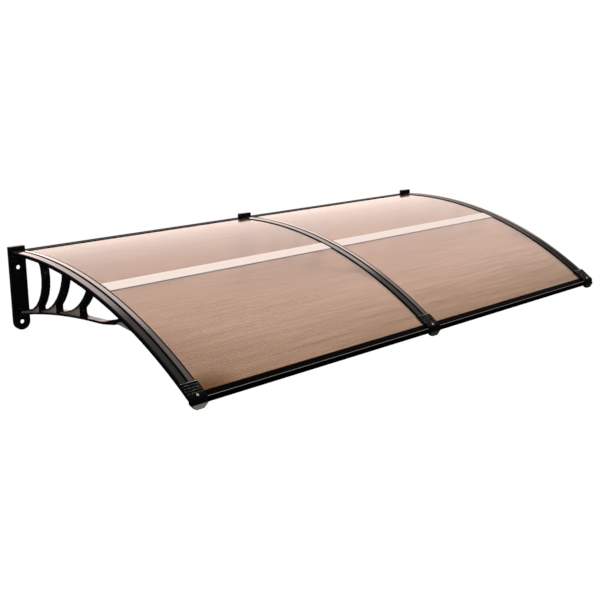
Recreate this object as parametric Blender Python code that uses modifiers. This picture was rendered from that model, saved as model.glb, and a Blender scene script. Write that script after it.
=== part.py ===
"""Arched polycarbonate door canopy: two bays of twin-wall sheet on three moulded wall brackets.

X runs along the wall, the wall is the plane y = 0, the canopy reaches out towards -Y and Z is up.
The origin is on the back of the middle bracket's wall plate, half way between its two fixing holes.
Side outlines are drawn as (forward, up) pairs: forward is the distance from the wall.
"Depth" is measured square to the arch, downwards from the ridge line of the cover strips.
"""

import math

import bmesh
import bpy
from mathutils import Matrix, Vector

# Driving dimensions, in metres
BRACKET_SPACING = 0.975
BRACKET_WIDTH = 0.056
SEAT_GAP = 0.0003

# The arch that the ridge of every cover strip follows
ARCH_RADIUS = 1.500
ARCH_CREST_FORWARD = 0.135
RIDGE_ABOVE_ORIGIN = 0.1475
ARCH_STEP = math.radians(1.6)

# Layers of the arch, from the cover strip down
COVER_GABLE_RISE = 0.0030
COVER_EDGE_THICKNESS = 0.0020
COVER_EDGE_CHAMFER = 0.0032
COVER_EDGE_CHAMFER_DROP = 0.0014
COVER_GROOVE_WIDTH = 0.0060
COVER_GROOVE_FLOOR = 0.0034
COVER_GROOVE_DEPTH = 0.0018
SHEET_THICKNESS = 0.0040
RAIL_THICKNESS = 0.0025
RAIL_EDGE_INSET = 0.0006
RAIL_RIB_DEPTH = 0.0040
RAIL_END_SETBACK = 0.0010
LOCATING_RIB_WIDTH = 0.0100

# Wall plate
PLATE_DEPTH = 0.0140
HOLE_SPACING = 0.185
HOLE_DIAMETER = 0.0140
COUNTERBORE_DIAMETER = 0.0200
COUNTERBORE_DEPTH = 0.0015
PLATE_TOP_ABOVE_RIDGE = 0.0150
PLATE_FACE_THICKNESS = 0.0045
PLATE_RIM = 0.0050
PLATE_CROSS_RIB = 0.0120
PLATE_TOP_ROUNDING = 0.0040
PLATE_POCKET_ROUNDING = 0.0050

# Lower chord, struts and their feet
FRAME_THICKNESS = 0.0240
CHORD_DEPTH = 0.0075
GIRDER_DEPTH = 0.0155
CHORD_SPAN = 0.698
CHORD_FOOT_BELOW_RIDGE = 0.2200
CHORD_END_BELOW_RAIL = 0.0170
CHORD_BOW = 0.0240
STRUT_DEPTH = 0.0140
STRUT_HEADS = (0.176, 0.318, 0.457)
STRUT_TAILS = (0.090, 0.195, 0.315)
STRUT_TOES = (0.157, 0.270, 0.412)
STRUT_BOWS = (0.044, 0.0255, 0.019)
WEB_THICKNESS = 0.0080
CHORD_FLANGE = 0.0055
POCKET_RIM = 0.0030
HEAD_FILLET = 0.0150
FOOT_FILLET = 0.0140
PLATE_FILLET = 0.0160
POCKET_FILLET = 0.0025
POCKET_POINT_FILLET = 0.0010

# Front end of the chord: it turns up to the rail, with a recessed web below the turn
UPTURN_BACK = 0.163
UPTURN_END_BACK = 0.058
UPTURN_FILLET = 0.0300
UPTURN_TIP_FILLET = 0.0060
TIP_FLANGE = 0.0110
TIP_WEB_BEND_BACK = 0.092
TIP_WEB_RISE = 0.0135
TIP_WEB_AHEAD = 0.047
TIP_WEB_BEND_FILLET = 0.0120
TIP_WEB_END_FILLET = 0.0200
TIP_POCKET_SETBACK = 0.0060

# Sheets and the bar that joins them
SHEET_REAR_FORWARD = 0.0165
SHEET_FRONT_FORWARD = 0.9696
SHEET_SIDE_CLEARANCE = 0.0020
SHEET_WALL = 0.0006
FLUTE_PITCH = 0.0135
BAR_FORWARD = 0.496
BAR_WIDTH = 0.0500
BAR_FLANGE = 0.0015
BAR_WEB = 0.0020
BAR_GROOVE_WIDTH = 0.0030
BAR_GROOVE_DEPTH = 0.0006
BAR_END_GAP = 0.0006

# Rails on the front and rear edges of the sheets, and the seal against the wall
EDGE_RAIL_WALL = 0.0018
EDGE_RAIL_END_GAP = 0.0006
FRONT_LIP = 0.0165
FRONT_LOWER_LIP = 0.0125
FRONT_NOSE_REACH = 0.0050
FRONT_FACE_HEIGHT = 0.0160
FRONT_BEAD_RADIUS = 0.0022
FRONT_BEAD_RISE = 0.0005
REAR_RAIL_BACK_FORWARD = 0.0030
REAR_LIP = 0.0080
SEAL_FREE_FORWARD = 0.0002
SEAL_HEIGHT = 0.0110

# Front clamp and screws
CLAMP_LENGTH = 0.0550
CLAMP_ABOVE_RIDGE = 0.0015
CLAMP_REACH = 0.0065
CLAMP_TAIL_CHAMFER = 0.0020
CLAMP_BROW_BACK = 0.0055
CLAMP_BROW_BEND_BACK = 0.0015
CLAMP_BROW_DROP = 0.0010
CLAMP_FACE_TOP_DROP = 0.0060
CLAMP_FACE_SETBACK = 0.0010
CLAMP_RIB_COUNT = 5
CLAMP_RIB_PITCH = 0.0090
CLAMP_GROOVE_WIDTH = 0.0036
CLAMP_GROOVE_DEPTH = 0.0014
DRIP_NOSE_DROP = 0.0340
DRIP_SHOULDER_DROP = 0.0170
DRIP_NOSE_WIDTH = 0.0240
DRIP_NOSE_SWELL = 0.0030
DRIP_NOSE_EASING = 0.0010
DRIP_HEEL_HEIGHT = 0.0100
DRIP_SIDE_ROUNDING = 0.0050
DRIP_TIP_ROUNDING = 0.0040
SCREW_DIAMETER = 0.0040
SCREW_HEAD_DIAMETER = 0.0080
SCREW_HEAD_HEIGHT = 0.0024
SCREW_LENGTH = 0.0150
SCREW_POINT_LENGTH = 0.0020
SCREW_HOLE_CLEARANCE = 0.0003
SCREW_HOLE_SPARE = 0.0030
DRILL_OVERRUN = 0.0100
CLAMP_SCREW_BACK = 0.0048
COVER_SCREW_FORWARD = 0.740

# Levels worked out from the sizes above
COVER_UNDERSIDE = COVER_GABLE_RISE + COVER_EDGE_THICKNESS
SHEET_TOP = COVER_UNDERSIDE + SEAT_GAP
SHEET_BOTTOM = SHEET_TOP + SHEET_THICKNESS
RAIL_TOP = SHEET_BOTTOM + SEAT_GAP
RAIL_BOTTOM = RAIL_TOP + RAIL_THICKNESS
BAND_BOTTOM = RAIL_BOTTOM + RAIL_RIB_DEPTH
UPTURN_FORWARD = CHORD_SPAN - UPTURN_BACK
UPTURN_END_FORWARD = CHORD_SPAN - UPTURN_END_BACK
TIP_WEB_BEND_FORWARD = CHORD_SPAN - TIP_WEB_BEND_BACK
TIP_WEB_END_FORWARD = CHORD_SPAN + TIP_WEB_AHEAD
JOINING_DEPTH = 0.0015
SLIVER = 0.00003
ARCH_CENTRE_UP = RIDGE_ABOVE_ORIGIN - math.sqrt(ARCH_RADIUS ** 2 - ARCH_CREST_FORWARD ** 2)
SCREW_HOLE_RADIUS = SCREW_DIAMETER / 2 + SCREW_HOLE_CLEARANCE
BRACKET_NAMES = ("left", "middle", "right")
BRACKET_PLACES = tuple((index - 1) * BRACKET_SPACING for index in range(3))
BAY_NAMES = ("left", "right")
BAY_PLACES = tuple((index - 0.5) * BRACKET_SPACING for index in range(2))

# Local x of a side outline is forward (-Y), local y is up (+Z), local z is -X
SIDE_FRAME = Matrix(((0, 0, -1, 0), (-1, 0, 0, 0), (0, 1, 0, 0), (0, 0, 0, 1)))
# Local x of a front outline is +X, local y is up (+Z), local z is -Y
FRONT_FRAME = Matrix(((1, 0, 0, 0), (0, 0, -1, 0), (0, 1, 0, 0), (0, 0, 0, 1)))
# Turns a cylinder that stands on +Z to point away from the wall
FACING_FORWARD = Matrix.Rotation(math.pi / 2, 4, "X")


def clear_scene():
    """Remove whatever the file opened with."""
    for item in list(bpy.data.objects):
        bpy.data.objects.remove(item, do_unlink=True)


def new_collection(name):
    """A collection linked to the scene."""
    collection = bpy.data.collections.new(name)
    bpy.context.scene.collection.children.link(collection)
    return collection


def plastic(name, colour, roughness, metallic=0.0, alpha=1.0):
    """A Principled material with one flat colour."""
    material = bpy.data.materials.new(name)
    material.use_nodes = True
    shader = material.node_tree.nodes["Principled BSDF"]
    shader.inputs["Base Color"].default_value = (*colour, 1.0)
    shader.inputs["Roughness"].default_value = roughness
    shader.inputs["Metallic"].default_value = metallic
    shader.inputs["Alpha"].default_value = alpha
    return material


# Arch and outline geometry

def arch_angle(forward, depth=0.0):
    """Angle from the crest of the arch at which a line of the given depth is this far forward."""
    return math.asin((forward - ARCH_CREST_FORWARD) / (ARCH_RADIUS - depth))


def arch_point(angle, depth):
    """Point (forward, up) at an angle from the crest and a depth below the ridge line."""
    radius = ARCH_RADIUS - depth
    return (ARCH_CREST_FORWARD + radius * math.sin(angle), ARCH_CENTRE_UP + radius * math.cos(angle))


def arch_line(start, end, depth):
    """Points along the arch at one depth, from one angle to another."""
    steps = max(1, math.ceil(abs(end - start) / ARCH_STEP))
    return [arch_point(start + (end - start) * step / steps, depth) for step in range(steps + 1)]


def near_arch(angle, along, depth):
    """Point set off from the arch at an angle: along the tangent (forward) and down the normal."""
    forward, up = arch_point(angle, depth)
    return (forward + along * math.cos(angle), up - along * math.sin(angle))


FRONT_ANGLE = arch_angle(SHEET_FRONT_FORWARD)
REAR_ANGLE = arch_angle(SHEET_REAR_FORWARD)
BAR_ANGLE = arch_angle(BAR_FORWARD)
RAIL_END_ANGLE = FRONT_ANGLE - RAIL_END_SETBACK / ARCH_RADIUS
FRAME_END_ANGLE = RAIL_END_ANGLE - RAIL_EDGE_INSET / ARCH_RADIUS
COVER_END_ANGLE = FRONT_ANGLE - (CLAMP_LENGTH + 2 * SEAT_GAP) / ARCH_RADIUS
PLATE_FRONT_ANGLE = arch_angle(PLATE_DEPTH + SEAT_GAP)


def chord_line(start, end, above=0.0, steps=14):
    """Underside of the lower chord, raised by a height: a shallow bow away from the plate."""
    foot_up = RIDGE_ABOVE_ORIGIN - CHORD_FOOT_BELOW_RIDGE
    end_up = rail_point(CHORD_SPAN)[1] - CHORD_END_BELOW_RAIL
    points = []
    for step in range(steps + 1):
        forward = start + (end - start) * step / steps
        share = forward / CHORD_SPAN
        bow = 4 * CHORD_BOW * share * (1 - share)
        points.append((forward, foot_up + (end_up - foot_up) * share + bow + above))
    return points


def chord_point(forward, above):
    """Point at a height above the chord's underside."""
    return chord_line(forward, forward, above, 1)[0]


def rail_point(forward, below=0.0):
    """Point on the underside of the arched rail, or at a depth below it."""
    return arch_point(arch_angle(forward, BAND_BOTTOM + below), BAND_BOTTOM + below)


def strut_circle(index):
    """Centre and radius of the arc that the rear edge of a strut follows."""
    head = Vector(rail_point(STRUT_HEADS[index]))
    tail = Vector(chord_point(STRUT_TAILS[index], GIRDER_DEPTH))
    middle = (head + tail) / 2
    span = head - tail
    outward = Vector((span.y, -span.x)).normalized()
    bow = STRUT_BOWS[index]
    radius = (span.length ** 2 / 4 + bow ** 2) / (2 * bow)
    return middle - outward * (radius - bow), radius


def strut_arc(index, outset, start, end, steps):
    """Points of a strut's edge, an arc set off from its rear edge, between two angles."""
    centre, radius = strut_circle(index)
    reach = radius + outset
    points = []
    for step in range(steps + 1):
        angle = start + (end - start) * step / steps
        points.append((centre.x + reach * math.cos(angle), centre.y + reach * math.sin(angle)))
    return points


def head_angle(index, outset):
    """Angle on a strut's arc at which it meets the underside of the arched rail."""
    centre, radius = strut_circle(index)
    reach = radius + outset
    low = -math.pi / 2
    high = math.pi / 2
    for _ in range(50):
        angle = (low + high) / 2
        forward = centre.x + reach * math.cos(angle)
        if centre.y + reach * math.sin(angle) < rail_point(forward)[1]:
            low = angle
        else:
            high = angle
    return low


def forward_angle(index, outset, forward):
    """Angle on the lower half of a strut's arc at which it is this far from the wall."""
    centre, radius = strut_circle(index)
    return -math.acos((forward - centre.x) / (radius + outset))


def cut_back(points, length):
    """Drop a length from the end of a line of points."""
    points = [Vector(point) for point in points]
    while len(points) > 1:
        last = (points[-1] - points[-2]).length
        if last > length:
            share = length / last
            points[-1] = points[-1].lerp(points[-2], share)
            return points
        length -= last
        points.pop()
    return points


def blended_outline(edges, fillets, steps=3):
    """Closed outline from edges laid end to end, with a rounded corner after each edge.

    The fillet is the distance that a corner takes up on both of its edges, and the rounding
    is the quadratic curve whose control point is the corner itself.
    """
    trimmed = []
    for index, edge in enumerate(edges):
        line = cut_back(edge, fillets[index])
        line = cut_back(line[::-1], fillets[index - 1])[::-1]
        trimmed.append(line)
    outline = []
    for index, line in enumerate(trimmed):
        outline.extend(line)
        corner = Vector(edges[index][-1])
        following = trimmed[(index + 1) % len(trimmed)][0]
        if fillets[index] > 0:
            for step in range(1, steps):
                share = step / steps
                near = line[-1].lerp(corner, share)
                far = corner.lerp(following, share)
                outline.append(near.lerp(far, share))
    return without_repeats(outline)


def without_repeats(outline, nearest=0.00005):
    """Outline without points that lie on the one before them."""
    kept = []
    for point in outline:
        point = Vector(point)
        if not kept or (point - kept[-1]).length > nearest:
            kept.append(point)
    if (kept[0] - kept[-1]).length < nearest:
        kept.pop()
    return kept


# Solids

def flat_solid(name, outlines, thickness, frame, centre=0.0):
    """Solid of even thickness from a closed outline, and the openings in it, drawn as 2D curves.

    The frame turns the drawing into place, and centre is its middle along the drawing's normal.
    """
    curve = bpy.data.curves.new(name, "CURVE")
    curve.dimensions = "2D"
    curve.fill_mode = "BOTH"
    curve.extrude = thickness / 2
    for outline in outlines:
        spline = curve.splines.new("POLY")
        spline.points.add(len(outline) - 1)
        for point, (across, up) in zip(spline.points, outline):
            point.co = (across, up, 0.0, 1.0)
        spline.use_cyclic_u = True
    drawing = bpy.data.objects.new(name, curve)
    bpy.context.scene.collection.objects.link(drawing)
    drawing.matrix_world = frame @ Matrix.Translation((0, 0, centre))
    bpy.context.view_layer.update()
    mesh = bpy.data.meshes.new_from_object(drawing.evaluated_get(bpy.context.evaluated_depsgraph_get()))
    mesh.transform(drawing.matrix_world)
    bpy.data.objects.remove(drawing, do_unlink=True)
    bpy.data.curves.remove(curve)
    solid = bmesh.new()
    solid.from_mesh(mesh)
    bmesh.ops.remove_doubles(solid, verts=solid.verts, dist=0.00001)
    bmesh.ops.recalc_face_normals(solid, faces=solid.faces)
    solid.to_mesh(mesh)
    solid.free()
    return mesh


def arch_sweep(name, section, start, end):
    """Solid swept along the arch from a closed section of (x, depth) points."""
    solid = bmesh.new()
    corners = []
    for across, depth in section:
        forward, up = arch_point(start, depth)
        corners.append(solid.verts.new((across, -forward, up)))
    face = solid.faces.new(corners)
    steps = math.ceil((end - start) / ARCH_STEP)
    bmesh.ops.spin(
        solid, geom=[face, *face.edges, *face.verts], cent=(0, -ARCH_CREST_FORWARD, ARCH_CENTRE_UP),
        axis=(1, 0, 0), angle=end - start, steps=steps, use_duplicate=False)
    bmesh.ops.recalc_face_normals(solid, faces=solid.faces)
    mesh = bpy.data.meshes.new(name)
    solid.to_mesh(mesh)
    solid.free()
    return mesh


def cylinder(name, radius, length, segments=20):
    """Mesh of a cylinder standing on the origin along +Z."""
    solid = bmesh.new()
    bmesh.ops.create_cone(
        solid, cap_ends=True, segments=segments, radius1=radius, radius2=radius, depth=length,
        matrix=Matrix.Translation((0, 0, length / 2)))
    mesh = bpy.data.meshes.new(name)
    solid.to_mesh(mesh)
    solid.free()
    return mesh


def place(name, mesh, material, collection, at=0.0):
    """Object for a finished mesh, moved along the wall to its place."""
    item = bpy.data.objects.new(name, mesh)
    item.location.x = at
    if material:
        mesh.materials.clear()
        mesh.materials.append(material)
    collection.objects.link(item)
    return item


def helper(name, mesh, collection):
    """Object that only shapes another one."""
    item = place(name, mesh, None, collection)
    item.hide_render = True
    item.display_type = "WIRE"
    return item


def combine(item, other, operation):
    """Boolean modifier on an object."""
    modifier = item.modifiers.new(other.name, "BOOLEAN")
    modifier.operation = operation
    modifier.object = other
    modifier.solver = "EXACT"


def finished_mesh(item, name):
    """The evaluated mesh of an object with its modifiers, tidied of doubled points."""
    bpy.context.view_layer.update()
    mesh = bpy.data.meshes.new_from_object(item.evaluated_get(bpy.context.evaluated_depsgraph_get()))
    mesh.name = name
    solid = bmesh.new()
    solid.from_mesh(mesh)
    bmesh.ops.remove_doubles(solid, verts=solid.verts, dist=SLIVER)
    bmesh.ops.dissolve_limit(
        solid, angle_limit=math.radians(0.2), verts=solid.verts, edges=solid.edges)
    bmesh.ops.triangulate(solid, faces=solid.faces)
    solid.to_mesh(mesh)
    solid.free()
    return mesh


# Bracket

def frame_outline():
    """Outer outline of the bracket's side frame: arched rail above, bowed chord and tip web below."""
    inner_depth = RAIL_TOP + JOINING_DEPTH
    back = PLATE_DEPTH / 2
    crown = arch_line(arch_angle(back, inner_depth), FRAME_END_ANGLE, inner_depth)
    end_face = [arch_point(FRAME_END_ANGLE, inner_depth), arch_point(FRAME_END_ANGLE, BAND_BOTTOM)]
    front_underside = arch_line(FRAME_END_ANGLE, arch_angle(TIP_WEB_END_FORWARD, BAND_BOTTOM), BAND_BOTTOM)
    turn = chord_point(UPTURN_FORWARD, 0.0)
    bend = (TIP_WEB_BEND_FORWARD, turn[1] + TIP_WEB_RISE)
    chord = chord_line(UPTURN_FORWARD, back)
    edges = [crown, end_face, front_underside, [front_underside[-1], bend], [bend, turn], chord,
             [chord[-1], crown[0]]]
    fillets = [0, 0, TIP_WEB_END_FILLET, TIP_WEB_BEND_FILLET, UPTURN_FILLET, 0, 0]
    return blended_outline(edges, fillets)


def frame_opening(index):
    """Opening in front of the plate or a strut, up to the next strut or the chord's upturned end."""
    last = index == len(STRUT_HEADS)
    above = CHORD_DEPTH if last else GIRDER_DEPTH
    if index == 0:
        foot = PLATE_DEPTH - JOINING_DEPTH
        rear_side = [chord_point(foot, above), rail_point(foot)]
    else:
        foot = STRUT_TOES[index - 1]
        toe_angle = forward_angle(index - 1, STRUT_DEPTH, foot)
        top_angle = head_angle(index - 1, STRUT_DEPTH)
        rear_side = [chord_point(foot, above)]
        rear_side += strut_arc(index - 1, STRUT_DEPTH, toe_angle, top_angle, 6)
    rail_start = arch_angle(rear_side[-1][0], BAND_BOTTOM)
    if last:
        top = arch_line(rail_start, arch_angle(UPTURN_END_FORWARD, BAND_BOTTOM), BAND_BOTTOM)
        bottom = chord_line(UPTURN_FORWARD, foot, above, 6)
        edges = [rear_side, top, [top[-1], bottom[0]], bottom]
        return blended_outline(edges, [HEAD_FILLET, UPTURN_TIP_FILLET, UPTURN_FILLET, FOOT_FILLET])
    tail_angle = forward_angle(index, 0.0, STRUT_TAILS[index])
    front_side = strut_arc(index, 0.0, head_angle(index, 0.0), tail_angle, 8)
    top = arch_line(rail_start, arch_angle(front_side[0][0], BAND_BOTTOM), BAND_BOTTOM)
    bottom = chord_line(STRUT_TAILS[index], foot, above, 4)
    heel_fillet = PLATE_FILLET if index == 0 else POCKET_FILLET
    return blended_outline(
        [rear_side, top, front_side, bottom], [HEAD_FILLET, HEAD_FILLET, FOOT_FILLET, heel_fillet])


def foot_pocket(index):
    """Recess in the side of a strut's foot: it runs from the plate or the toe behind to its own toe."""
    heel = (PLATE_DEPTH if index == 0 else STRUT_TOES[index - 1]) + POCKET_RIM
    wall = STRUT_TOES[index] - POCKET_RIM
    tail = STRUT_TAILS[index] + POCKET_RIM
    high = forward_angle(index, POCKET_RIM, wall)
    curved = strut_arc(index, POCKET_RIM, high, forward_angle(index, POCKET_RIM, tail), 5)
    ceiling = chord_line(tail - 2 * POCKET_RIM, heel, GIRDER_DEPTH - POCKET_RIM, 3)
    floor = chord_line(heel, wall, CHORD_FLANGE, 4)
    heel_side = [ceiling[-1], floor[0]]
    toe_side = [floor[-1], curved[0]]
    edges = [curved, [curved[-1], ceiling[0]], ceiling, heel_side, floor, toe_side]
    return blended_outline(edges, [0, 0, POCKET_FILLET, POCKET_FILLET, POCKET_FILLET, POCKET_POINT_FILLET])


def tip_pocket():
    """Recess in the web below the chord's upturned end, open at its lower edge."""
    start = Vector(chord_point(UPTURN_FORWARD, CHORD_DEPTH))
    end = Vector(rail_point(UPTURN_END_FORWARD))
    rear = TIP_WEB_BEND_FORWARD - TIP_POCKET_SETBACK
    flange = start.lerp(end, (rear - start.x) / (end.x - start.x)) - Vector((0.0, TIP_FLANGE))
    depth = BAND_BOTTOM + POCKET_RIM
    bend = arch_angle(UPTURN_END_FORWARD + TIP_FLANGE, depth)
    rail_side = arch_line(bend, arch_angle(TIP_WEB_END_FORWARD - TIP_POCKET_SETBACK, depth), depth)
    below = start.y - TIP_WEB_RISE
    return without_repeats([flange, *rail_side, (rail_side[-1][0], below), (rear, below)])


def half_round(radius):
    """Lower half of a circle about the plate's lower hole, from right to left."""
    turns = [math.radians(angle) for angle in range(0, -181, -15)]
    return [(radius * math.cos(turn), radius * math.sin(turn) - HOLE_SPACING / 2) for turn in turns]


def plate_outline():
    """Front view of the wall plate: square top, half-round bottom about the lower hole."""
    half = BRACKET_WIDTH / 2
    top = RIDGE_ABOVE_ORIGIN + PLATE_TOP_ABOVE_RIDGE
    turn = half_round(half)
    corners = [[(half, top), turn[0]], turn, [turn[-1], (-half, top)], [(-half, top), (half, top)]]
    return blended_outline(corners, [0, 0, PLATE_TOP_ROUNDING, PLATE_TOP_ROUNDING])


def rounded_rectangle(low, high, radius):
    """Closed outline of an upright rectangle with rounded corners."""
    left, bottom = low
    right, top = high
    sides = [[(left, bottom), (right, bottom)], [(right, bottom), (right, top)],
             [(right, top), (left, top)], [(left, top), (left, bottom)]]
    return blended_outline(sides, [radius] * 4)


def plate_pocket_outlines():
    """Hollows in the back of the plate, one round each hole, with a cross rib between them."""
    half = BRACKET_WIDTH / 2 - PLATE_RIM
    top = RIDGE_ABOVE_ORIGIN + PLATE_TOP_ABOVE_RIDGE - PLATE_RIM
    rib = PLATE_CROSS_RIB / 2
    turn = half_round(half)
    lower = [[(half, -rib), turn[0]], turn, [turn[-1], (-half, -rib)], [(-half, -rib), (half, -rib)]]
    rounding = PLATE_POCKET_ROUNDING
    return [rounded_rectangle((-half, rib), (half, top), rounding),
            blended_outline(lower, [0, 0, rounding, rounding])]


def bracket_mesh(cutters):
    """One moulding: wall plate, arched T-rail with locating rib, struts, chord and webs."""
    half_width = BRACKET_WIDTH / 2 - RAIL_EDGE_INSET
    outlines = [frame_outline()] + [frame_opening(index) for index in range(len(STRUT_HEADS) + 1)]
    body = helper("bracket_frame", flat_solid("frame", outlines, FRAME_THICKNESS, SIDE_FRAME), cutters)
    pockets = [foot_pocket(index) for index in range(len(STRUT_HEADS))] + [tip_pocket()]
    recess = (FRAME_THICKNESS - WEB_THICKNESS) / 2
    side_offset = WEB_THICKNESS / 2 + recess
    for index, pocket in enumerate(pockets):
        for side in (-1, 1):
            name = f"foot_pocket_{index}_{'near' if side < 0 else 'far'}"
            shape = flat_solid(name, [pocket], 2 * recess, SIDE_FRAME, side * side_offset)
            combine(body, helper(name, shape, cutters), "DIFFERENCE")

    half_rib = LOCATING_RIB_WIDTH / 2
    rib_top = COVER_UNDERSIDE + SEAT_GAP
    tee = [(-half_width, RAIL_TOP), (-half_rib, RAIL_TOP), (-half_rib, rib_top),
           (half_rib, rib_top), (half_rib, RAIL_TOP), (half_width, RAIL_TOP),
           (half_width, RAIL_BOTTOM), (-half_width, RAIL_BOTTOM)]
    rail = arch_sweep("rail", tee, arch_angle(PLATE_DEPTH / 2, RAIL_TOP), RAIL_END_ANGLE)
    combine(body, helper("arched_rail", rail, cutters), "UNION")

    plate = flat_solid("plate", [plate_outline()], PLATE_DEPTH, FRONT_FRAME, PLATE_DEPTH / 2)
    combine(body, helper("wall_plate", plate, cutters), "UNION")
    hollow_depth = PLATE_DEPTH - PLATE_FACE_THICKNESS
    for index, outline in enumerate(plate_pocket_outlines()):
        shape = flat_solid("pocket", [outline], 2 * hollow_depth, FRONT_FRAME)
        combine(body, helper(f"plate_pocket_{index}", shape, cutters), "DIFFERENCE")
    for level in (-1, 1):
        up = level * HOLE_SPACING / 2
        through = cylinder("hole", HOLE_DIAMETER / 2, 3 * PLATE_DEPTH, 16)
        through.transform(Matrix.Translation((0, PLATE_DEPTH, up)) @ FACING_FORWARD)
        combine(body, helper(f"fixing_hole_{level}", through, cutters), "DIFFERENCE")
        counterbore = cylinder("counterbore", COUNTERBORE_DIAMETER / 2, PLATE_DEPTH, 16)
        counterbore.transform(Matrix.Translation((0, COUNTERBORE_DEPTH - PLATE_DEPTH, up)) @ FACING_FORWARD)
        combine(body, helper(f"counterbore_{level}", counterbore, cutters), "DIFFERENCE")
    for name, frame in screw_frames():
        pilot = screw_drill(name, frame)
        combine(body, helper(f"bracket_{name}", pilot, cutters), "DIFFERENCE")
    return finished_mesh(body, "bracket")


# Screws

def screw_frames():
    """Name and place of each screw hole: local z points out of the canopy's top."""
    clamp_forward, clamp_up = near_arch(FRONT_ANGLE, -CLAMP_SCREW_BACK, -CLAMP_ABOVE_RIDGE)
    cover_angle = arch_angle(COVER_SCREW_FORWARD)
    cover_forward, cover_up = arch_point(cover_angle, COVER_GROOVE_DEPTH)
    clamp = Matrix.Translation((0, -clamp_forward, clamp_up)) @ Matrix.Rotation(FRONT_ANGLE, 4, "X")
    cover = Matrix.Translation((0, -cover_forward, cover_up)) @ Matrix.Rotation(cover_angle, 4, "X")
    return (("clamp_screw_hole", clamp), ("cover_screw_hole", cover))


def screw_drill(name, frame):
    """Clearance hole for a screw, a little deeper than its point and open above its head."""
    depth = SCREW_LENGTH + SCREW_HOLE_SPARE
    drill = cylinder(name, SCREW_HOLE_RADIUS, depth + DRILL_OVERRUN, 12)
    drill.transform(frame @ Matrix.Translation((0, 0, -depth)))
    return drill


def screw_mesh(name):
    """Pan-head screw turned about its axis, with the head standing on the origin."""
    radius = SCREW_DIAMETER / 2
    head = SCREW_HEAD_DIAMETER / 2
    seat = SEAT_GAP
    profile = [(0.0, seat + SCREW_HEAD_HEIGHT)]
    for turn in (65, 40, 15):
        angle = math.radians(turn)
        profile.append((head * math.cos(angle), seat + SCREW_HEAD_HEIGHT * math.sin(angle)))
    shank_end = SCREW_POINT_LENGTH - SCREW_LENGTH
    profile += [(head, seat), (radius, seat), (radius, shank_end), (0.0, -SCREW_LENGTH)]
    mesh = bpy.data.meshes.new(name)
    mesh.from_pydata([(x, 0.0, z) for x, z in profile], [(i, i + 1) for i in range(len(profile) - 1)], [])
    return mesh


def build_screws(parts, cutters, materials):
    """Front clamp screws with bright heads and cover strip screws in black, one of each a bracket."""
    frames = dict(screw_frames())
    kinds = (("clamp_screw", "clamp_screw_hole", materials["steel"]),
             ("cover_screw", "cover_screw_hole", materials["black_screw"]))
    for kind, hole, material in kinds:
        pattern = helper(f"{kind}_profile", screw_mesh(kind), cutters)
        turned = pattern.modifiers.new("turn", "SCREW")
        turned.steps = 12
        turned.render_steps = 12
        turned.merge_threshold = 0.00001
        turned.use_merge_vertices = True
        mesh = finished_mesh(pattern, kind)
        mesh.transform(frames[hole])
        bpy.data.objects.remove(pattern, do_unlink=True)
        for side, at in zip(BRACKET_NAMES, BRACKET_PLACES):
            place(f"{kind}_{side}", mesh.copy(), material, parts, at)


# Cover strip

def cover_section():
    """Shallow gable with a flat-bottomed groove along its ridge and chamfered edges."""
    half = BRACKET_WIDTH / 2
    eave = half - COVER_EDGE_CHAMFER
    edge = COVER_GABLE_RISE + COVER_EDGE_CHAMFER_DROP
    groove = COVER_GROOVE_WIDTH / 2
    lip = COVER_GABLE_RISE * groove / eave
    floor = COVER_GROOVE_FLOOR / 2
    right = [(floor, COVER_GROOVE_DEPTH), (groove, lip), (eave, COVER_GABLE_RISE), (half, edge),
             (half, COVER_UNDERSIDE)]
    return [(-across, depth) for across, depth in right[::-1]] + right


def build_cover_strips(parts, cutters, materials):
    """Strips that close the arch over each bracket and hold the sheet edges down."""
    strip = arch_sweep("cover_strip", cover_section(), PLATE_FRONT_ANGLE, COVER_END_ANGLE)
    body = helper("cover_strip_blank", strip, cutters)
    frame = dict(screw_frames())["cover_screw_hole"]
    drill = screw_drill("cover_drill", frame)
    combine(body, helper("cover_strip_drill", drill, cutters), "DIFFERENCE")
    mill = cylinder("cover_mill", SCREW_HEAD_DIAMETER / 2 + SCREW_HOLE_CLEARANCE, DRILL_OVERRUN, 16)
    mill.transform(frame)
    combine(body, helper("cover_strip_seat", mill, cutters), "DIFFERENCE")
    mesh = finished_mesh(body, "cover_strip")
    for side, at in zip(BRACKET_NAMES, BRACKET_PLACES):
        place(f"cover_strip_{side}", mesh.copy(), materials["plastic"], parts, at)


# Front clamp

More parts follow.
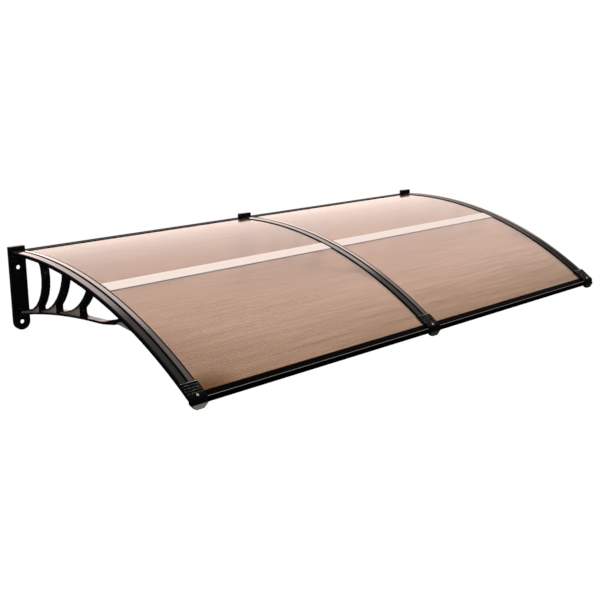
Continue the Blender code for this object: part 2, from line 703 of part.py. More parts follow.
def clamp_side_outline():
    """Side view of the clamp: grooved top, blunt front and a drip nose below the front rail."""
    top = -CLAMP_ABOVE_RIDGE
    groove_floor = top + CLAMP_GROOVE_DEPTH
    outline = [near_arch(FRONT_ANGLE, -CLAMP_LENGTH, COVER_UNDERSIDE),
               near_arch(FRONT_ANGLE, -CLAMP_LENGTH, 0.0),
               near_arch(FRONT_ANGLE, -CLAMP_LENGTH + CLAMP_TAIL_CHAMFER, top)]
    first = -CLAMP_LENGTH + CLAMP_RIB_PITCH / 2
    for index in range(CLAMP_RIB_COUNT):
        start = first + index * CLAMP_RIB_PITCH
        flank = CLAMP_GROOVE_DEPTH / 2
        outline.append(near_arch(FRONT_ANGLE, start, top))
        outline.append(near_arch(FRONT_ANGLE, start + flank, groove_floor))
        outline.append(near_arch(FRONT_ANGLE, start + CLAMP_GROOVE_WIDTH - flank, groove_floor))
        outline.append(near_arch(FRONT_ANGLE, start + CLAMP_GROOVE_WIDTH, top))
    origin_forward, origin_up = arch_point(FRONT_ANGLE, 0.0)
    front = origin_forward + CLAMP_REACH
    face = front - CLAMP_FACE_SETBACK
    shoulder = origin_up - DRIP_SHOULDER_DROP
    nose = origin_up - DRIP_NOSE_DROP
    ease = DRIP_NOSE_EASING
    inner = near_arch(FRONT_ANGLE, SEAT_GAP * 2, RAIL_BOTTOM)
    outline += [near_arch(FRONT_ANGLE, CLAMP_REACH - CLAMP_BROW_BACK, top),
                near_arch(FRONT_ANGLE, CLAMP_REACH - CLAMP_BROW_BEND_BACK, top + CLAMP_BROW_DROP),
                (face, origin_up - CLAMP_FACE_TOP_DROP),
                (face, shoulder + ease + DRIP_NOSE_SWELL),
                (front + DRIP_NOSE_SWELL, shoulder - ease),
                (front + ease, nose + ease),
                (front - 2 * ease, nose),
                (inner[0] + ease, nose + 2 * ease),
                (inner[0], nose + DRIP_HEEL_HEIGHT),
                inner,
                near_arch(FRONT_ANGLE, SEAT_GAP * 2, COVER_UNDERSIDE)]
    return without_repeats(outline)


def clamp_front_outline():
    """Front view of the clamp: full width above, with the nose tapered below the front rail."""
    half = BRACKET_WIDTH / 2
    _, origin_up = arch_point(FRONT_ANGLE, 0.0)
    shoulder = origin_up - DRIP_SHOULDER_DROP
    nose = origin_up - DRIP_NOSE_DROP
    top = origin_up + CLAMP_LENGTH
    tip = DRIP_NOSE_WIDTH / 2
    sides = [[(half, top), (half, shoulder)], [(half, shoulder), (tip, nose)],
             [(tip, nose), (-tip, nose)], [(-tip, nose), (-half, shoulder)],
             [(-half, shoulder), (-half, top)], [(-half, top), (half, top)]]
    side = DRIP_SIDE_ROUNDING
    below = DRIP_TIP_ROUNDING
    return blended_outline(sides, [side, below, below, side, 0, 0])


def build_front_clamps(parts, cutters, materials):
    """Ribbed clamps that close the front end of each bracket over the rail and the sheets."""
    block_mesh = flat_solid("clamp", [clamp_side_outline()], BRACKET_WIDTH, SIDE_FRAME)
    body = helper("front_clamp_blank", block_mesh, cutters)
    outline = clamp_front_outline()
    view = flat_solid("clamp_view", [outline], 4 * CLAMP_LENGTH, FRONT_FRAME, SHEET_FRONT_FORWARD)
    combine(body, helper("front_clamp_view", view, cutters), "INTERSECT")
    drill = screw_drill("clamp_drill", dict(screw_frames())["clamp_screw_hole"])
    combine(body, helper("front_clamp_drill", drill, cutters), "DIFFERENCE")
    mesh = finished_mesh(body, "front_clamp")
    for side, at in zip(BRACKET_NAMES, BRACKET_PLACES):
        place(f"front_clamp_{side}", mesh.copy(), materials["plastic"], parts, at)


# Twin-wall sheets

def sheet_outlines(start, end):
    """Section of a sheet, with its flutes as openings between the two skins."""
    length = (end - start) * ARCH_RADIUS
    count = max(1, round(length / FLUTE_PITCH))
    step = (end - start) / count
    web = SHEET_WALL / 2 / ARCH_RADIUS
    upper = [arch_point(start + step * index, SHEET_TOP) for index in range(count + 1)]
    lower = [arch_point(start + step * index, SHEET_BOTTOM) for index in range(count + 1)]
    outlines = [upper + lower[::-1]]
    for index in range(count):
        rear = start + step * index + web * (2 if index == 0 else 1)
        front = start + step * (index + 1) - web * (2 if index == count - 1 else 1)
        outlines.append([
            arch_point(rear, SHEET_TOP + SHEET_WALL), arch_point(rear, SHEET_BOTTOM - SHEET_WALL),
            arch_point(front, SHEET_BOTTOM - SHEET_WALL), arch_point(front, SHEET_TOP + SHEET_WALL)])
    return outlines


def build_sheets(parts, materials):
    """A rear and a front sheet in each bay, with the flutes along the wall."""
    width = BRACKET_SPACING - LOCATING_RIB_WIDTH - 2 * SHEET_SIDE_CLEARANCE
    joint = (BAR_WEB / 2 + SEAT_GAP) / ARCH_RADIUS
    spans = (("rear", REAR_ANGLE, BAR_ANGLE - joint), ("front", BAR_ANGLE + joint, FRONT_ANGLE))
    for row, start, end in spans:
        mesh = flat_solid(f"sheet_{row}", sheet_outlines(start, end), width, SIDE_FRAME)
        for bay, at in zip(BAY_NAMES, BAY_PLACES):
            place(f"sheet_{bay}_{row}", mesh.copy(), materials["sheet"], parts, at)


# Aluminium joint bar

def bar_outline():
    """H-section that follows the arch, with a fine groove down the middle of its upper flange."""
    half = BAR_WIDTH / 2 / ARCH_RADIUS
    web = BAR_WEB / 2 / ARCH_RADIUS
    groove = BAR_GROOVE_WIDTH / 2 / ARCH_RADIUS
    top = SHEET_TOP - SEAT_GAP - BAR_FLANGE
    upper_seat = SHEET_TOP - SEAT_GAP
    lower_seat = SHEET_BOTTOM + SEAT_GAP
    bottom = lower_seat + BAR_FLANGE
    back = BAR_ANGLE - half
    front = BAR_ANGLE + half
    outline = arch_line(back, BAR_ANGLE - groove, top)
    outline.append(arch_point(BAR_ANGLE, top + BAR_GROOVE_DEPTH))
    outline += arch_line(BAR_ANGLE + groove, front, top)
    outline += arch_line(front, BAR_ANGLE + web, upper_seat)
    outline += arch_line(BAR_ANGLE + web, front, lower_seat)
    outline += arch_line(front, back, bottom)
    outline += arch_line(back, BAR_ANGLE - web, lower_seat)
    outline += arch_line(BAR_ANGLE - web, back, upper_seat)
    return without_repeats(outline)


def build_joint_bars(parts, materials):
    """Bars that join the rear and front sheets, cut to the clear width between cover strips."""
    length = BRACKET_SPACING - BRACKET_WIDTH - 2 * BAR_END_GAP
    mesh = flat_solid("joint_bar", [bar_outline()], length, SIDE_FRAME)
    for bay, at in zip(BAY_NAMES, BAY_PLACES):
        place(f"joint_bar_{bay}", mesh.copy(), materials["aluminium"], parts, at)


# Edge rails and wall seals

def front_rail_outline():
    """Channel over the front edge of a sheet: a rounded bead, an upright face and a drip edge."""
    seat = SEAT_GAP
    slot_end = 2 * SEAT_GAP
    top = SHEET_TOP - seat - EDGE_RAIL_WALL
    bottom = SHEET_BOTTOM + seat + EDGE_RAIL_WALL
    radius = FRONT_BEAD_RADIUS
    centre = near_arch(FRONT_ANGLE, FRONT_NOSE_REACH - radius, top - FRONT_BEAD_RISE + radius)
    first = FRONT_ANGLE - math.acos(1 - FRONT_BEAD_RISE / radius)
    turns = [first + (math.pi / 2 - first) * share for share in (0.0, 0.2, 0.4, 0.6, 0.8, 1.0)]
    bead = [(centre[0] + radius * math.sin(turn), centre[1] + radius * math.cos(turn)) for turn in turns]
    face = centre[0] + radius
    drip = centre[1] - FRONT_FACE_HEIGHT
    return without_repeats([
        near_arch(FRONT_ANGLE, -FRONT_LIP, SHEET_TOP - seat),
        near_arch(FRONT_ANGLE, -FRONT_LIP, top + EDGE_RAIL_WALL / 2),
        near_arch(FRONT_ANGLE, -FRONT_LIP + EDGE_RAIL_WALL, top),
        *bead,
        (face, drip),
        (face - EDGE_RAIL_WALL, drip),
        (face - EDGE_RAIL_WALL, centre[1] - FRONT_FACE_HEIGHT / 2),
        near_arch(FRONT_ANGLE, slot_end + EDGE_RAIL_WALL, bottom),
        near_arch(FRONT_ANGLE, -FRONT_LOWER_LIP, bottom),
        near_arch(FRONT_ANGLE, -FRONT_LOWER_LIP, SHEET_BOTTOM + seat),
        near_arch(FRONT_ANGLE, slot_end, SHEET_BOTTOM + seat),
        near_arch(FRONT_ANGLE, slot_end, SHEET_TOP - seat)])


def rear_rail_outline():
    """Channel over the rear edge of a sheet, with a flat back for the seal."""
    seat = SEAT_GAP
    top = SHEET_TOP - seat - EDGE_RAIL_WALL
    bottom = SHEET_BOTTOM + seat + EDGE_RAIL_WALL
    slot_end = -2 * SEAT_GAP
    back = REAR_RAIL_BACK_FORWARD
    upper = near_arch(REAR_ANGLE, REAR_LIP, top)
    lower = near_arch(REAR_ANGLE, REAR_LIP, bottom)
    top_back = near_arch(REAR_ANGLE, slot_end - EDGE_RAIL_WALL, top)
    bottom_back = near_arch(REAR_ANGLE, slot_end - EDGE_RAIL_WALL, bottom)
    return without_repeats([
        (back, bottom_back[1]), (back, top_back[1]), top_back, upper,
        near_arch(REAR_ANGLE, REAR_LIP, SHEET_TOP - seat),
        near_arch(REAR_ANGLE, slot_end, SHEET_TOP - seat),
        near_arch(REAR_ANGLE, slot_end, SHEET_BOTTOM + seat),
        near_arch(REAR_ANGLE, REAR_LIP, SHEET_BOTTOM + seat),
        lower, bottom_back])


def seal_outline():
    """Rubber strip between the rear rail and the wall."""
    middle = arch_point(REAR_ANGLE, (SHEET_TOP + SHEET_BOTTOM) / 2)[1]
    back = SEAL_FREE_FORWARD
    front = REAR_RAIL_BACK_FORWARD - SEAT_GAP
    half = SEAL_HEIGHT / 2
    bevel = (front - back) / 3
    return [(back, middle - half + bevel), (back, middle + half - bevel), (back + bevel, middle + half),
            (front, middle + half), (front, middle - half), (back + bevel, middle - half)]


def build_edge_pieces(parts, materials):
    """Front rails, rear rails and wall seals, each cut to fit between two brackets."""
    length = BRACKET_SPACING - BRACKET_WIDTH - 2 * EDGE_RAIL_END_GAP
    kinds = (("front_rail", front_rail_outline(), materials["rail"]),
             ("rear_rail", rear_rail_outline(), materials["rail"]),
             ("wall_seal", seal_outline(), materials["rubber"]))
    for kind, outline, material in kinds:
        mesh = flat_solid(kind, [outline], length, SIDE_FRAME)
        for bay, at in zip(BAY_NAMES, BAY_PLACES):
            place(f"{kind}_{bay}", mesh.copy(), material, parts, at)


def build_brackets(parts, cutters, materials):
    """Three like brackets."""
    mesh = bracket_mesh(cutters)
    for side, at in zip(BRACKET_NAMES, BRACKET_PLACES):
        place(f"bracket_{side}", mesh.copy(), materials["plastic"], parts, at)


def shade(parts):
    """Smooth shading with sharp edges kept."""
    for item in parts.objects:
        item.data.shade_smooth()
        item.data.set_sharp_from_angle(angle=math.radians(30))


def main():
    """Build the canopy."""
    clear_scene()
    parts = new_collection("door_canopy")
    cutters = new_collection("cutters")
    materials = {
        "plastic": plastic("black_abs", (0.008, 0.008, 0.008), 0.22),
        "sheet": plastic("brown_polycarbonate", (0.42, 0.24, 0.15), 0.15, alpha=0.6),
        "aluminium": plastic("satin_aluminium", (0.82, 0.82, 0.81), 0.35, metallic=1.0),
        "rail": plastic("black_coated_rail", (0.012, 0.012, 0.012), 0.30),
        "rubber": plastic("black_rubber", (0.015, 0.015, 0.015), 0.80),
        "steel": plastic("bright_steel", (0.75, 0.75, 0.74), 0.25, metallic=1.0),
        "black_screw": plastic("blackened_steel", (0.03, 0.03, 0.03), 0.40, metallic=1.0),
    }
    build_brackets(parts, cutters, materials)
    build_cover_strips(parts, cutters, materials)
    build_front_clamps(parts, cutters, materials)
    build_screws(parts, cutters, materials)
    build_sheets(parts, materials)
    build_joint_bars(parts, materials)
    build_edge_pieces(parts, materials)
    shade(parts)


main()
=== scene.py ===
"""Door canopy of brown twin-wall polycarbonate on three black moulded brackets, dressed for a studio picture.

X runs along the wall, the wall is the plane y = 0, the canopy reaches out towards -Y and Z is up, in metres.
"""

import math

import bmesh
import bpy
import numpy as np
from mathutils import Matrix, Vector


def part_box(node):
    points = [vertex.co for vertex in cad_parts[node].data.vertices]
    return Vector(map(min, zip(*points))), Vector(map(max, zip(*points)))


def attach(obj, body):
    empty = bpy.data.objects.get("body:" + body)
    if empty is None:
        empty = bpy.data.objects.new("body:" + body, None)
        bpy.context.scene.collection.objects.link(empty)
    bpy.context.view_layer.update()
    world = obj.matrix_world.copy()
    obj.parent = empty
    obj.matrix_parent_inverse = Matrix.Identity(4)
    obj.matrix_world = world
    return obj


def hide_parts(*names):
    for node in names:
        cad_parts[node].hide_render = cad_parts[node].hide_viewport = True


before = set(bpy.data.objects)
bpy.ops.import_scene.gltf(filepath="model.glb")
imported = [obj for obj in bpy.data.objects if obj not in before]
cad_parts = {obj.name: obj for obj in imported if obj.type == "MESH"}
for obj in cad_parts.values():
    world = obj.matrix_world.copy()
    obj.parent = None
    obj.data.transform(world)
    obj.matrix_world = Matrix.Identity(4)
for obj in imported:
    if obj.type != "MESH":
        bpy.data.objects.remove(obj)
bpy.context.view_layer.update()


# Camera: stands in front and to the left, a little above the canopy, where the fitted picture puts it.
# A normal lens, level from side to side and tipped down.
CAMERA_PLACE = (-2.3756, -2.8339, 0.7618)
CAMERA_TURN = 43.4645
CAMERA_TIP = 14.5345
FOCAL_LENGTH_PIXELS = 939.5
PICTURE_PIXELS = 600
SENSOR_WIDTH = 36.0

camera_data = bpy.data.cameras.new("camera")
camera_data.sensor_width = SENSOR_WIDTH
camera_data.lens = FOCAL_LENGTH_PIXELS / PICTURE_PIXELS * SENSOR_WIDTH
camera_data.clip_end = 100.0
camera = bpy.data.objects.new("camera", camera_data)
camera.location = CAMERA_PLACE
camera.rotation_euler = (math.radians(90.0 - CAMERA_TIP), 0.0, math.radians(-CAMERA_TURN))
bpy.context.scene.collection.objects.link(camera)
bpy.context.scene.camera = camera


# Brackets: one ABS moulding each, with the wall plate, the arched T-rail, three crescent struts and the chord.
# The mould's polished faces come out glossy black, and its spark-eroded pockets come out satin, in a grey that
# is painted light caught by the pocket webs.
# Each is bolted flat to the wall through the two holes of its plate.
SIDES = ("left", "middle", "right")
ABS_BLACK = "#050505"
# Painted light: the grey of the pocket webs stands for the light they catch.
ABS_POCKET_LIT_GREY = "#6f6460"
ABS_IOR = 1.53
POLISHED_ROUGHNESS = 0.22
POCKET_ROUGHNESS = 0.60
POCKET_WEB_HALF = 0.0055
SIDE_FACING = 0.9
SPARK_GRAIN = 0.0012
SPARK_GRAIN_HEIGHT = 0.00004
GRAIN_DETAIL = 2.0
BUMP_STRENGTH = 0.4
MOULD_EDGE_RADIUS = 0.0008
MERGE_DISTANCE = 0.00002
COPLANAR_ANGLE = math.radians(0.5)
BEVEL_ANGLE = math.radians(25.0)
COPY_SHARP_ANGLE = math.radians(30.0)


def linear(colour):
    """Linear RGBA of an sRGB hex colour."""
    shares = [int(colour[place:place + 2], 16) / 255 for place in (1, 3, 5)]
    return (*(s / 12.92 if s <= 0.04045 else ((s + 0.055) / 1.055) ** 2.4 for s in shares), 1.0)


def add_node(tree, kind, settings=None, links=None):
    """Add a node, set its properties and sockets, and link sockets to what feeds them."""
    node = tree.nodes.new(kind)
    for name, value in (settings or {}).items():
        if isinstance(name, int) or name in node.inputs:
            node.inputs[name].default_value = value
        else:
            setattr(node, name, value)
    for name, source in (links or {}).items():
        tree.links.new(source, node.inputs[name])
    return node


def new_material(name, **settings):
    """Material with one Principled shader whose constant sockets are set from the settings."""
    material = bpy.data.materials.new(name)
    material.use_nodes = True
    shader = material.node_tree.nodes["Principled BSDF"]
    for socket, value in settings.items():
        shader.inputs[socket.replace("_", " ")].default_value = value
    return material, material.node_tree, shader


def grain_bump(tree, shader, size, height, stretch=(1.0, 1.0, 1.0)):
    """Fine noise relief in object space, with grains of a real size, turned into a bump."""
    place = add_node(tree, "ShaderNodeTexCoord")
    spread = add_node(tree, "ShaderNodeMapping", {"Scale": stretch}, {"Vector": place.outputs["Object"]})
    noise = add_node(tree, "ShaderNodeTexNoise", {"Scale": 1.0 / size, "Detail": GRAIN_DETAIL},
                     {"Vector": spread.outputs["Vector"]})
    bump = add_node(tree, "ShaderNodeBump", {"Strength": BUMP_STRENGTH, "Distance": height},
                    {"Height": noise.outputs["Fac"]})
    tree.links.new(bump.outputs["Normal"], shader.inputs["Normal"])
    return noise


def moulded_abs(name, centre):
    """Polished black ABS, and spark-textured satin faces in a painted light grey where a side wall lies near
    the bracket's middle.
    """
    material, tree, shader = new_material(name, IOR=ABS_IOR, Specular_IOR_Level=0.35)
    grain_bump(tree, shader, SPARK_GRAIN, SPARK_GRAIN_HEIGHT)
    place = add_node(tree, "ShaderNodeTexCoord")
    parts = add_node(tree, "ShaderNodeSeparateXYZ", None, {"Vector": place.outputs["Object"]})
    offset = add_node(tree, "ShaderNodeMath", {"operation": "SUBTRACT", 1: centre}, {0: parts.outputs["X"]})
    distance = add_node(tree, "ShaderNodeMath", {"operation": "ABSOLUTE"}, {0: offset.outputs[0]})
    near = add_node(tree, "ShaderNodeMath", {"operation": "LESS_THAN", 1: POCKET_WEB_HALF},
                    {0: distance.outputs[0]})
    facing = add_node(tree, "ShaderNodeSeparateXYZ", None, {"Vector": place.outputs["Normal"]})
    sideways = add_node(tree, "ShaderNodeMath", {"operation": "ABSOLUTE"}, {0: facing.outputs["X"]})
    flat = add_node(tree, "ShaderNodeMath", {"operation": "GREATER_THAN", 1: SIDE_FACING},
                    {0: sideways.outputs[0]})
    pocket = add_node(tree, "ShaderNodeMath", {"operation": "MULTIPLY"},
                      {0: near.outputs[0], 1: flat.outputs[0]})
    # Painted light: the pocket webs turn grey, the rest stays black.
    colour = add_node(tree, "ShaderNodeMix", {"data_type": "RGBA", 6: linear(ABS_BLACK),
                                              7: linear(ABS_POCKET_LIT_GREY)}, {0: pocket.outputs[0]})
    tree.links.new(colour.outputs[2], shader.inputs["Base Color"])
    rough = add_node(tree, "ShaderNodeMapRange", {"To Min": POLISHED_ROUGHNESS, "To Max": POCKET_ROUGHNESS},
                     {"Value": pocket.outputs[0]})
    tree.links.new(rough.outputs["Result"], shader.inputs["Roughness"])
    return material


def softened_copy(node, name, radius):
    """Copy of a CAD node with doubles merged, flat faces joined and its sharp edges rounded."""
    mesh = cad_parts[node].data.copy()
    mesh.name = name
    solid = bmesh.new()
    solid.from_mesh(mesh)
    bmesh.ops.remove_doubles(solid, verts=solid.verts, dist=MERGE_DISTANCE)
    bmesh.ops.dissolve_limit(solid, angle_limit=COPLANAR_ANGLE, verts=solid.verts, edges=solid.edges)
    solid.to_mesh(mesh)
    solid.free()
    piece = bpy.data.objects.new(name, mesh)
    bpy.context.scene.collection.objects.link(piece)
    bevel = piece.modifiers.new("rounded edges", "BEVEL")
    bevel.width = radius
    bevel.segments = 2
    bevel.limit_method = "ANGLE"
    bevel.angle_limit = BEVEL_ANGLE
    bevel.harden_normals = True
    mesh.shade_smooth()
    mesh.set_sharp_from_angle(angle=COPY_SHARP_ANGLE)
    return piece


def dress(piece, material, node):
    """Give a new piece its material, and let it stand for a CAD node on the canopy's one body."""
    piece.data.materials.clear()
    piece.data.materials.append(material)
    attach(piece, "root")
    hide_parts(node)


for side in SIDES:
    low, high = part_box(f"bracket_{side}")
    finish = moulded_abs(f"moulded black ABS, {side} bracket", (low.x + high.x) / 2)
    bracket = softened_copy(f"bracket_{side}", f"moulded_bracket_{side}", MOULD_EDGE_RADIUS)
    dress(bracket, finish, f"bracket_{side}")


# Cover strips: gabled black ABS extrusions, bent over the arched rails and screwed down.
# Their polished tops mirror the pale backdrop, a wide groove divides them, and the groove and chamfered edges
# are a duller black that is painted shade.
# Dust colours that are partly painted sheen, polish, and a satin front painted darker as shade are guesses that
# give each strip the tone it has in the studio picture.
ARCH_RADIUS = 1.500
ARCH_CREST_FORWARD = 0.135
RIDGE_ABOVE_ORIGIN = 0.1475
ARCH_CENTRE_UP = RIDGE_ABOVE_ORIGIN - math.sqrt(ARCH_RADIUS ** 2 - ARCH_CREST_FORWARD ** 2)
STRIP_RISE = 0.0030
STRIP_UNDERSIDE = 0.0050
STRIP_CHAMFER = 0.0032
STRIP_CHAMFER_DROP = 0.0014
STRIP_GROOVE_WIDTH = 0.0060
STRIP_GROOVE_FLOOR = 0.0034
STRIP_GROOVE_DEPTH = 0.0018
STRIP_EDGE_RADIUS = 0.0005
STRIP_MATT_INNER = 0.0018
STRIP_MATT_OUTER = 0.0035
# Towards the front the strips turn satin, and their colour goes to one flat near-black: painted shade.
SATIN_AND_SHADE_FROM = -0.640
SATIN_AND_SHADE_TO = -0.760
FRONT_SHADE_BLACK = "#12130f"
STRIP_STEP = math.radians(0.3)
CREASE_ANGLE = math.radians(35.0)
STRIP_DIRT_GRAIN = 0.004
STRIP_DIRT_HEIGHT = 0.00003
STRIP_DIRT_STRETCH = (1.0, 0.2, 0.2)
STRIP_GLOSSY_ROUGHNESS = 0.14
STRIP_SATIN_ROUGHNESS = 0.36
STRIP_BLACK = "#070606"
# The dust colours are partly painted sheen: each is set so its strip shows the brightness of its reflection.
STRIP_DUST_AND_SHEEN = {"left": "#43383a", "middle": "#2a2220", "right": "#170f0c"}
STRIP_POLISH = {"left": 1.0, "middle": 0.85, "right": 0.1}
STRIP_SHINE = {"left": 0.6, "middle": 0.5, "right": 0.12}


def arch_angle(forward, depth=0.0):
    """Angle from the crest at which a line of this depth below the ridge is this far from the wall."""
    return math.asin((forward - ARCH_CREST_FORWARD) / (ARCH_RADIUS - depth))


def arch_points(angles, depths):
    """Points at (crest + (R - depth) sin a, centre + (R - depth) cos a), as (forward, up) rows."""
    reach = ARCH_RADIUS - np.asarray(depths, float)
    return np.stack(np.broadcast_arrays(ARCH_CREST_FORWARD + reach * np.sin(angles),
                                        ARCH_CENTRE_UP + reach * np.cos(angles)), -1)


def near_arch(angle, along, depth):
    """Point on the arch at an angle, set off along the tangent and down the normal."""
    return arch_points(angle, depth) + along * np.array([math.cos(angle), -math.sin(angle)])


def rounded_outline(points, radius, steps=3):
    """Closed outline with each corner cut back by the radius and rounded by a quadratic curve."""
    points = np.array(points, float)
    before = np.roll(points, 1, axis=0) - points
    after = np.roll(points, -1, axis=0) - points
    lengths = np.minimum(np.linalg.norm(before, axis=1), np.linalg.norm(after, axis=1))
    reach = np.minimum(radius, 0.45 * lengths)[:, None]
    start = points + before / np.linalg.norm(before, axis=1)[:, None] * reach
    end = points + after / np.linalg.norm(after, axis=1)[:, None] * reach
    share = np.linspace(0.0, 1.0, steps + 1)[None, :, None]
    curve = ((1 - share) ** 2 * start[:, None] + 2 * share * (1 - share) * points[:, None]
             + share ** 2 * end[:, None])
    return curve.reshape(-1, 2)


def new_piece(name, points, faces):
    """Smooth-shaded object from points and faces, with its normals turned outwards."""
    mesh = bpy.data.meshes.new(name)
    mesh.from_pydata(np.reshape(points, (-1, 3)).tolist(), [], faces)
    solid = bmesh.new()
    solid.from_mesh(mesh)
    bmesh.ops.recalc_face_normals(solid, faces=solid.faces)
    solid.to_mesh(mesh)
    solid.free()
    mesh.shade_smooth()
    mesh.set_sharp_from_angle(angle=CREASE_ANGLE)
    piece = bpy.data.objects.new(name, mesh)
    bpy.context.scene.collection.objects.link(piece)
    return piece


def ringed_piece(name, rings):
    """Closed solid from rings of points: each ring joined to the next by quads, and both ends capped."""
    count, size = rings.shape[:2]
    index = np.arange(count * size).reshape(count, size)
    here = index[:-1]
    ahead = index[1:]
    quads = np.stack([here, np.roll(here, -1, 1), np.roll(ahead, -1, 1), ahead], -1).reshape(-1, 4)
    return new_piece(name, rings, quads.tolist() + [index[0][::-1].tolist(), index[-1].tolist()])


def bent_section(name, section, start, end, step):
    """Section of (x, depth) points carried along the arch in even steps of angle."""
    angles = np.linspace(start, end, max(2, math.ceil((end - start) / step) + 1))[:, None]
    across, depth = np.array(section, float).T
    line = arch_points(angles, depth[None, :])
    rings = np.stack([np.broadcast_to(across, line.shape[:2]), -line[..., 0], line[..., 1]], -1)
    return ringed_piece(name, rings)


def gable_section(centre, half):
    """Shallow gable with a flat-bottomed groove and chamfered edges, as (x, depth) points round it."""
    eave = half - STRIP_CHAMFER
    edge = STRIP_RISE + STRIP_CHAMFER_DROP
    groove = STRIP_GROOVE_WIDTH / 2
    lip = STRIP_RISE * groove / eave
    inner = groove + STRIP_MATT_INNER
    outer = eave - STRIP_MATT_OUTER
    right = [(STRIP_GROOVE_FLOOR / 2, STRIP_GROOVE_DEPTH), (groove, lip), (inner, STRIP_RISE * inner / eave),
             (outer, STRIP_RISE * outer / eave), (eave, STRIP_RISE), (half, edge), (half, STRIP_UNDERSIDE)]
    corners = [(-x, depth) for x, depth in right[::-1]] + right
    return rounded_outline([(centre + x, depth) for x, depth in corners], STRIP_EDGE_RADIUS)


def dusty_sheen_strip(name, dust_and_sheen, polish, shine):
    """Polished black ABS with a thin, uneven film of dust whose colour is partly painted sheen, turning satin
    and painted darker as shade towards the front.
    """
    material, tree, shader = new_material(name, IOR=ABS_IOR, Specular_IOR_Level=shine, Coat_Roughness=0.07,
                                          Coat_IOR=1.6)
    noise = grain_bump(tree, shader, STRIP_DIRT_GRAIN, STRIP_DIRT_HEIGHT, STRIP_DIRT_STRETCH)
    colour = add_node(tree, "ShaderNodeMix", {"data_type": "RGBA", 6: linear(STRIP_BLACK), 7: linear(dust_and_sheen)},
                      {0: noise.outputs["Fac"]})
    place = add_node(tree, "ShaderNodeTexCoord")
    parts = add_node(tree, "ShaderNodeSeparateXYZ", None, {"Vector": place.outputs["Object"]})
    satin_and_shade = add_node(tree, "ShaderNodeMapRange", {
        "interpolation_type": "SMOOTHSTEP", "From Min": SATIN_AND_SHADE_FROM, "From Max": SATIN_AND_SHADE_TO},
        {"Value": parts.outputs["Y"]})
    # Painted shade: the colour turns to one flat near-black towards the front.
    shaded_front = add_node(tree, "ShaderNodeMix", {"data_type": "RGBA", 7: linear(FRONT_SHADE_BLACK)},
                     {0: satin_and_shade.outputs["Result"], 6: colour.outputs[2]})
    tree.links.new(shaded_front.outputs[2], shader.inputs["Base Color"])
    gloss = add_node(tree, "ShaderNodeMapRange", {"To Min": polish, "To Max": 0.0},
                     {"Value": satin_and_shade.outputs["Result"]})
    tree.links.new(gloss.outputs["Result"], shader.inputs["Coat Weight"])
    rough = add_node(tree, "ShaderNodeMapRange", {
        "To Min": STRIP_GLOSSY_ROUGHNESS, "To Max": STRIP_SATIN_ROUGHNESS},
        {"Value": satin_and_shade.outputs["Result"]})
    tree.links.new(rough.outputs["Result"], shader.inputs["Roughness"])
    return material


# Painted shade: a duller, darker black for the groove and the chamfered edges.
painted_shade_matt, painted_shade_tree, painted_shade_shader = new_material(
    "matt black ABS strip, painted shade", Base_Color=linear("#040303"), Roughness=0.75, IOR=ABS_IOR,
    Specular_IOR_Level=0.08)
grain_bump(painted_shade_tree, painted_shade_shader, SPARK_GRAIN, SPARK_GRAIN_HEIGHT)


def mark_finishes(piece, centre, half):
    """Give the groove and the chamfered edges, told by their distance from the ridge, the matt black that
    paints shade there.
    """
    piece.data.materials.append(painted_shade_matt)
    count = len(piece.data.polygons)
    middles = np.empty(count * 3)
    piece.data.polygons.foreach_get("center", middles)
    aside = abs(middles[::3] - centre)
    matt = ((aside < STRIP_GROOVE_WIDTH / 2 + STRIP_MATT_INNER)
            | (aside > half - STRIP_CHAMFER - STRIP_MATT_OUTER))
    piece.data.polygons.foreach_set("material_index", matt.astype(np.int32))


CLAMP_LENGTH = 0.055
SHEET_FRONT_FORWARD = 0.9696
STRIP_END_GAP = 0.0006
FRONT_ANGLE = arch_angle(SHEET_FRONT_FORWARD)
SCREW_HEAD_DIAMETER = 0.0080
COVER_SCREW_FORWARD = 0.740
SEAT_CLEARANCE = 0.0003
SEAT_SPARE = 0.0100


def counterbored(piece, across, angle, depth, radius):
    """Cut a round, flat-bottomed screw seat into the piece, square to the arch."""
    cutter_mesh = bpy.data.meshes.new("cutter")
    tool = bmesh.new()
    forward, up = arch_points(angle, depth)
    bmesh.ops.create_cone(
        tool, cap_ends=True, segments=32, radius1=radius, radius2=radius, depth=SEAT_SPARE,
        matrix=Matrix.Translation((across, -forward, up)) @ Matrix.Rotation(angle, 4, "X")
        @ Matrix.Translation((0, 0, SEAT_SPARE / 2)))
    tool.to_mesh(cutter_mesh)
    tool.free()
    cutter = bpy.data.objects.new("cutter", cutter_mesh)
    bpy.context.scene.collection.objects.link(cutter)
    cut = piece.modifiers.new("seat", "BOOLEAN")
    cut.operation = "DIFFERENCE"
    cut.solver = "EXACT"
    cut.object = cutter
    bpy.context.view_layer.update()
    whole = piece.data
    piece.data = bpy.data.meshes.new_from_object(piece.evaluated_get(bpy.context.evaluated_depsgraph_get()))
    piece.modifiers.clear()
    piece.data.name = piece.name
    piece.data.set_sharp_from_angle(angle=CREASE_ANGLE)
    bpy.data.objects.remove(cutter, do_unlink=True)
    bpy.data.meshes.remove(cutter_mesh)
    bpy.data.meshes.remove(whole)


for side in SIDES:
    low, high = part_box(f"cover_strip_{side}")
    centre = (low.x + high.x) / 2
    section = gable_section(centre, (high.x - low.x) / 2)
    rear = arch_angle(-high.y, STRIP_UNDERSIDE)
    front = FRONT_ANGLE - (CLAMP_LENGTH + STRIP_END_GAP) / ARCH_RADIUS
    strip = bent_section(f"gabled_cover_strip_{side}", section, rear, front, STRIP_STEP)
    counterbored(strip, centre, arch_angle(COVER_SCREW_FORWARD), STRIP_GROOVE_DEPTH,
                 SCREW_HEAD_DIAMETER / 2 + SEAT_CLEARANCE)
    strip_finish = dusty_sheen_strip(f"polished black ABS strip, {side}", STRIP_DUST_AND_SHEEN[side],
                               STRIP_POLISH[side], STRIP_SHINE[side])
    dress(strip, strip_finish, f"cover_strip_{side}")
    mark_finishes(strip, centre, (high.x - low.x) / 2)
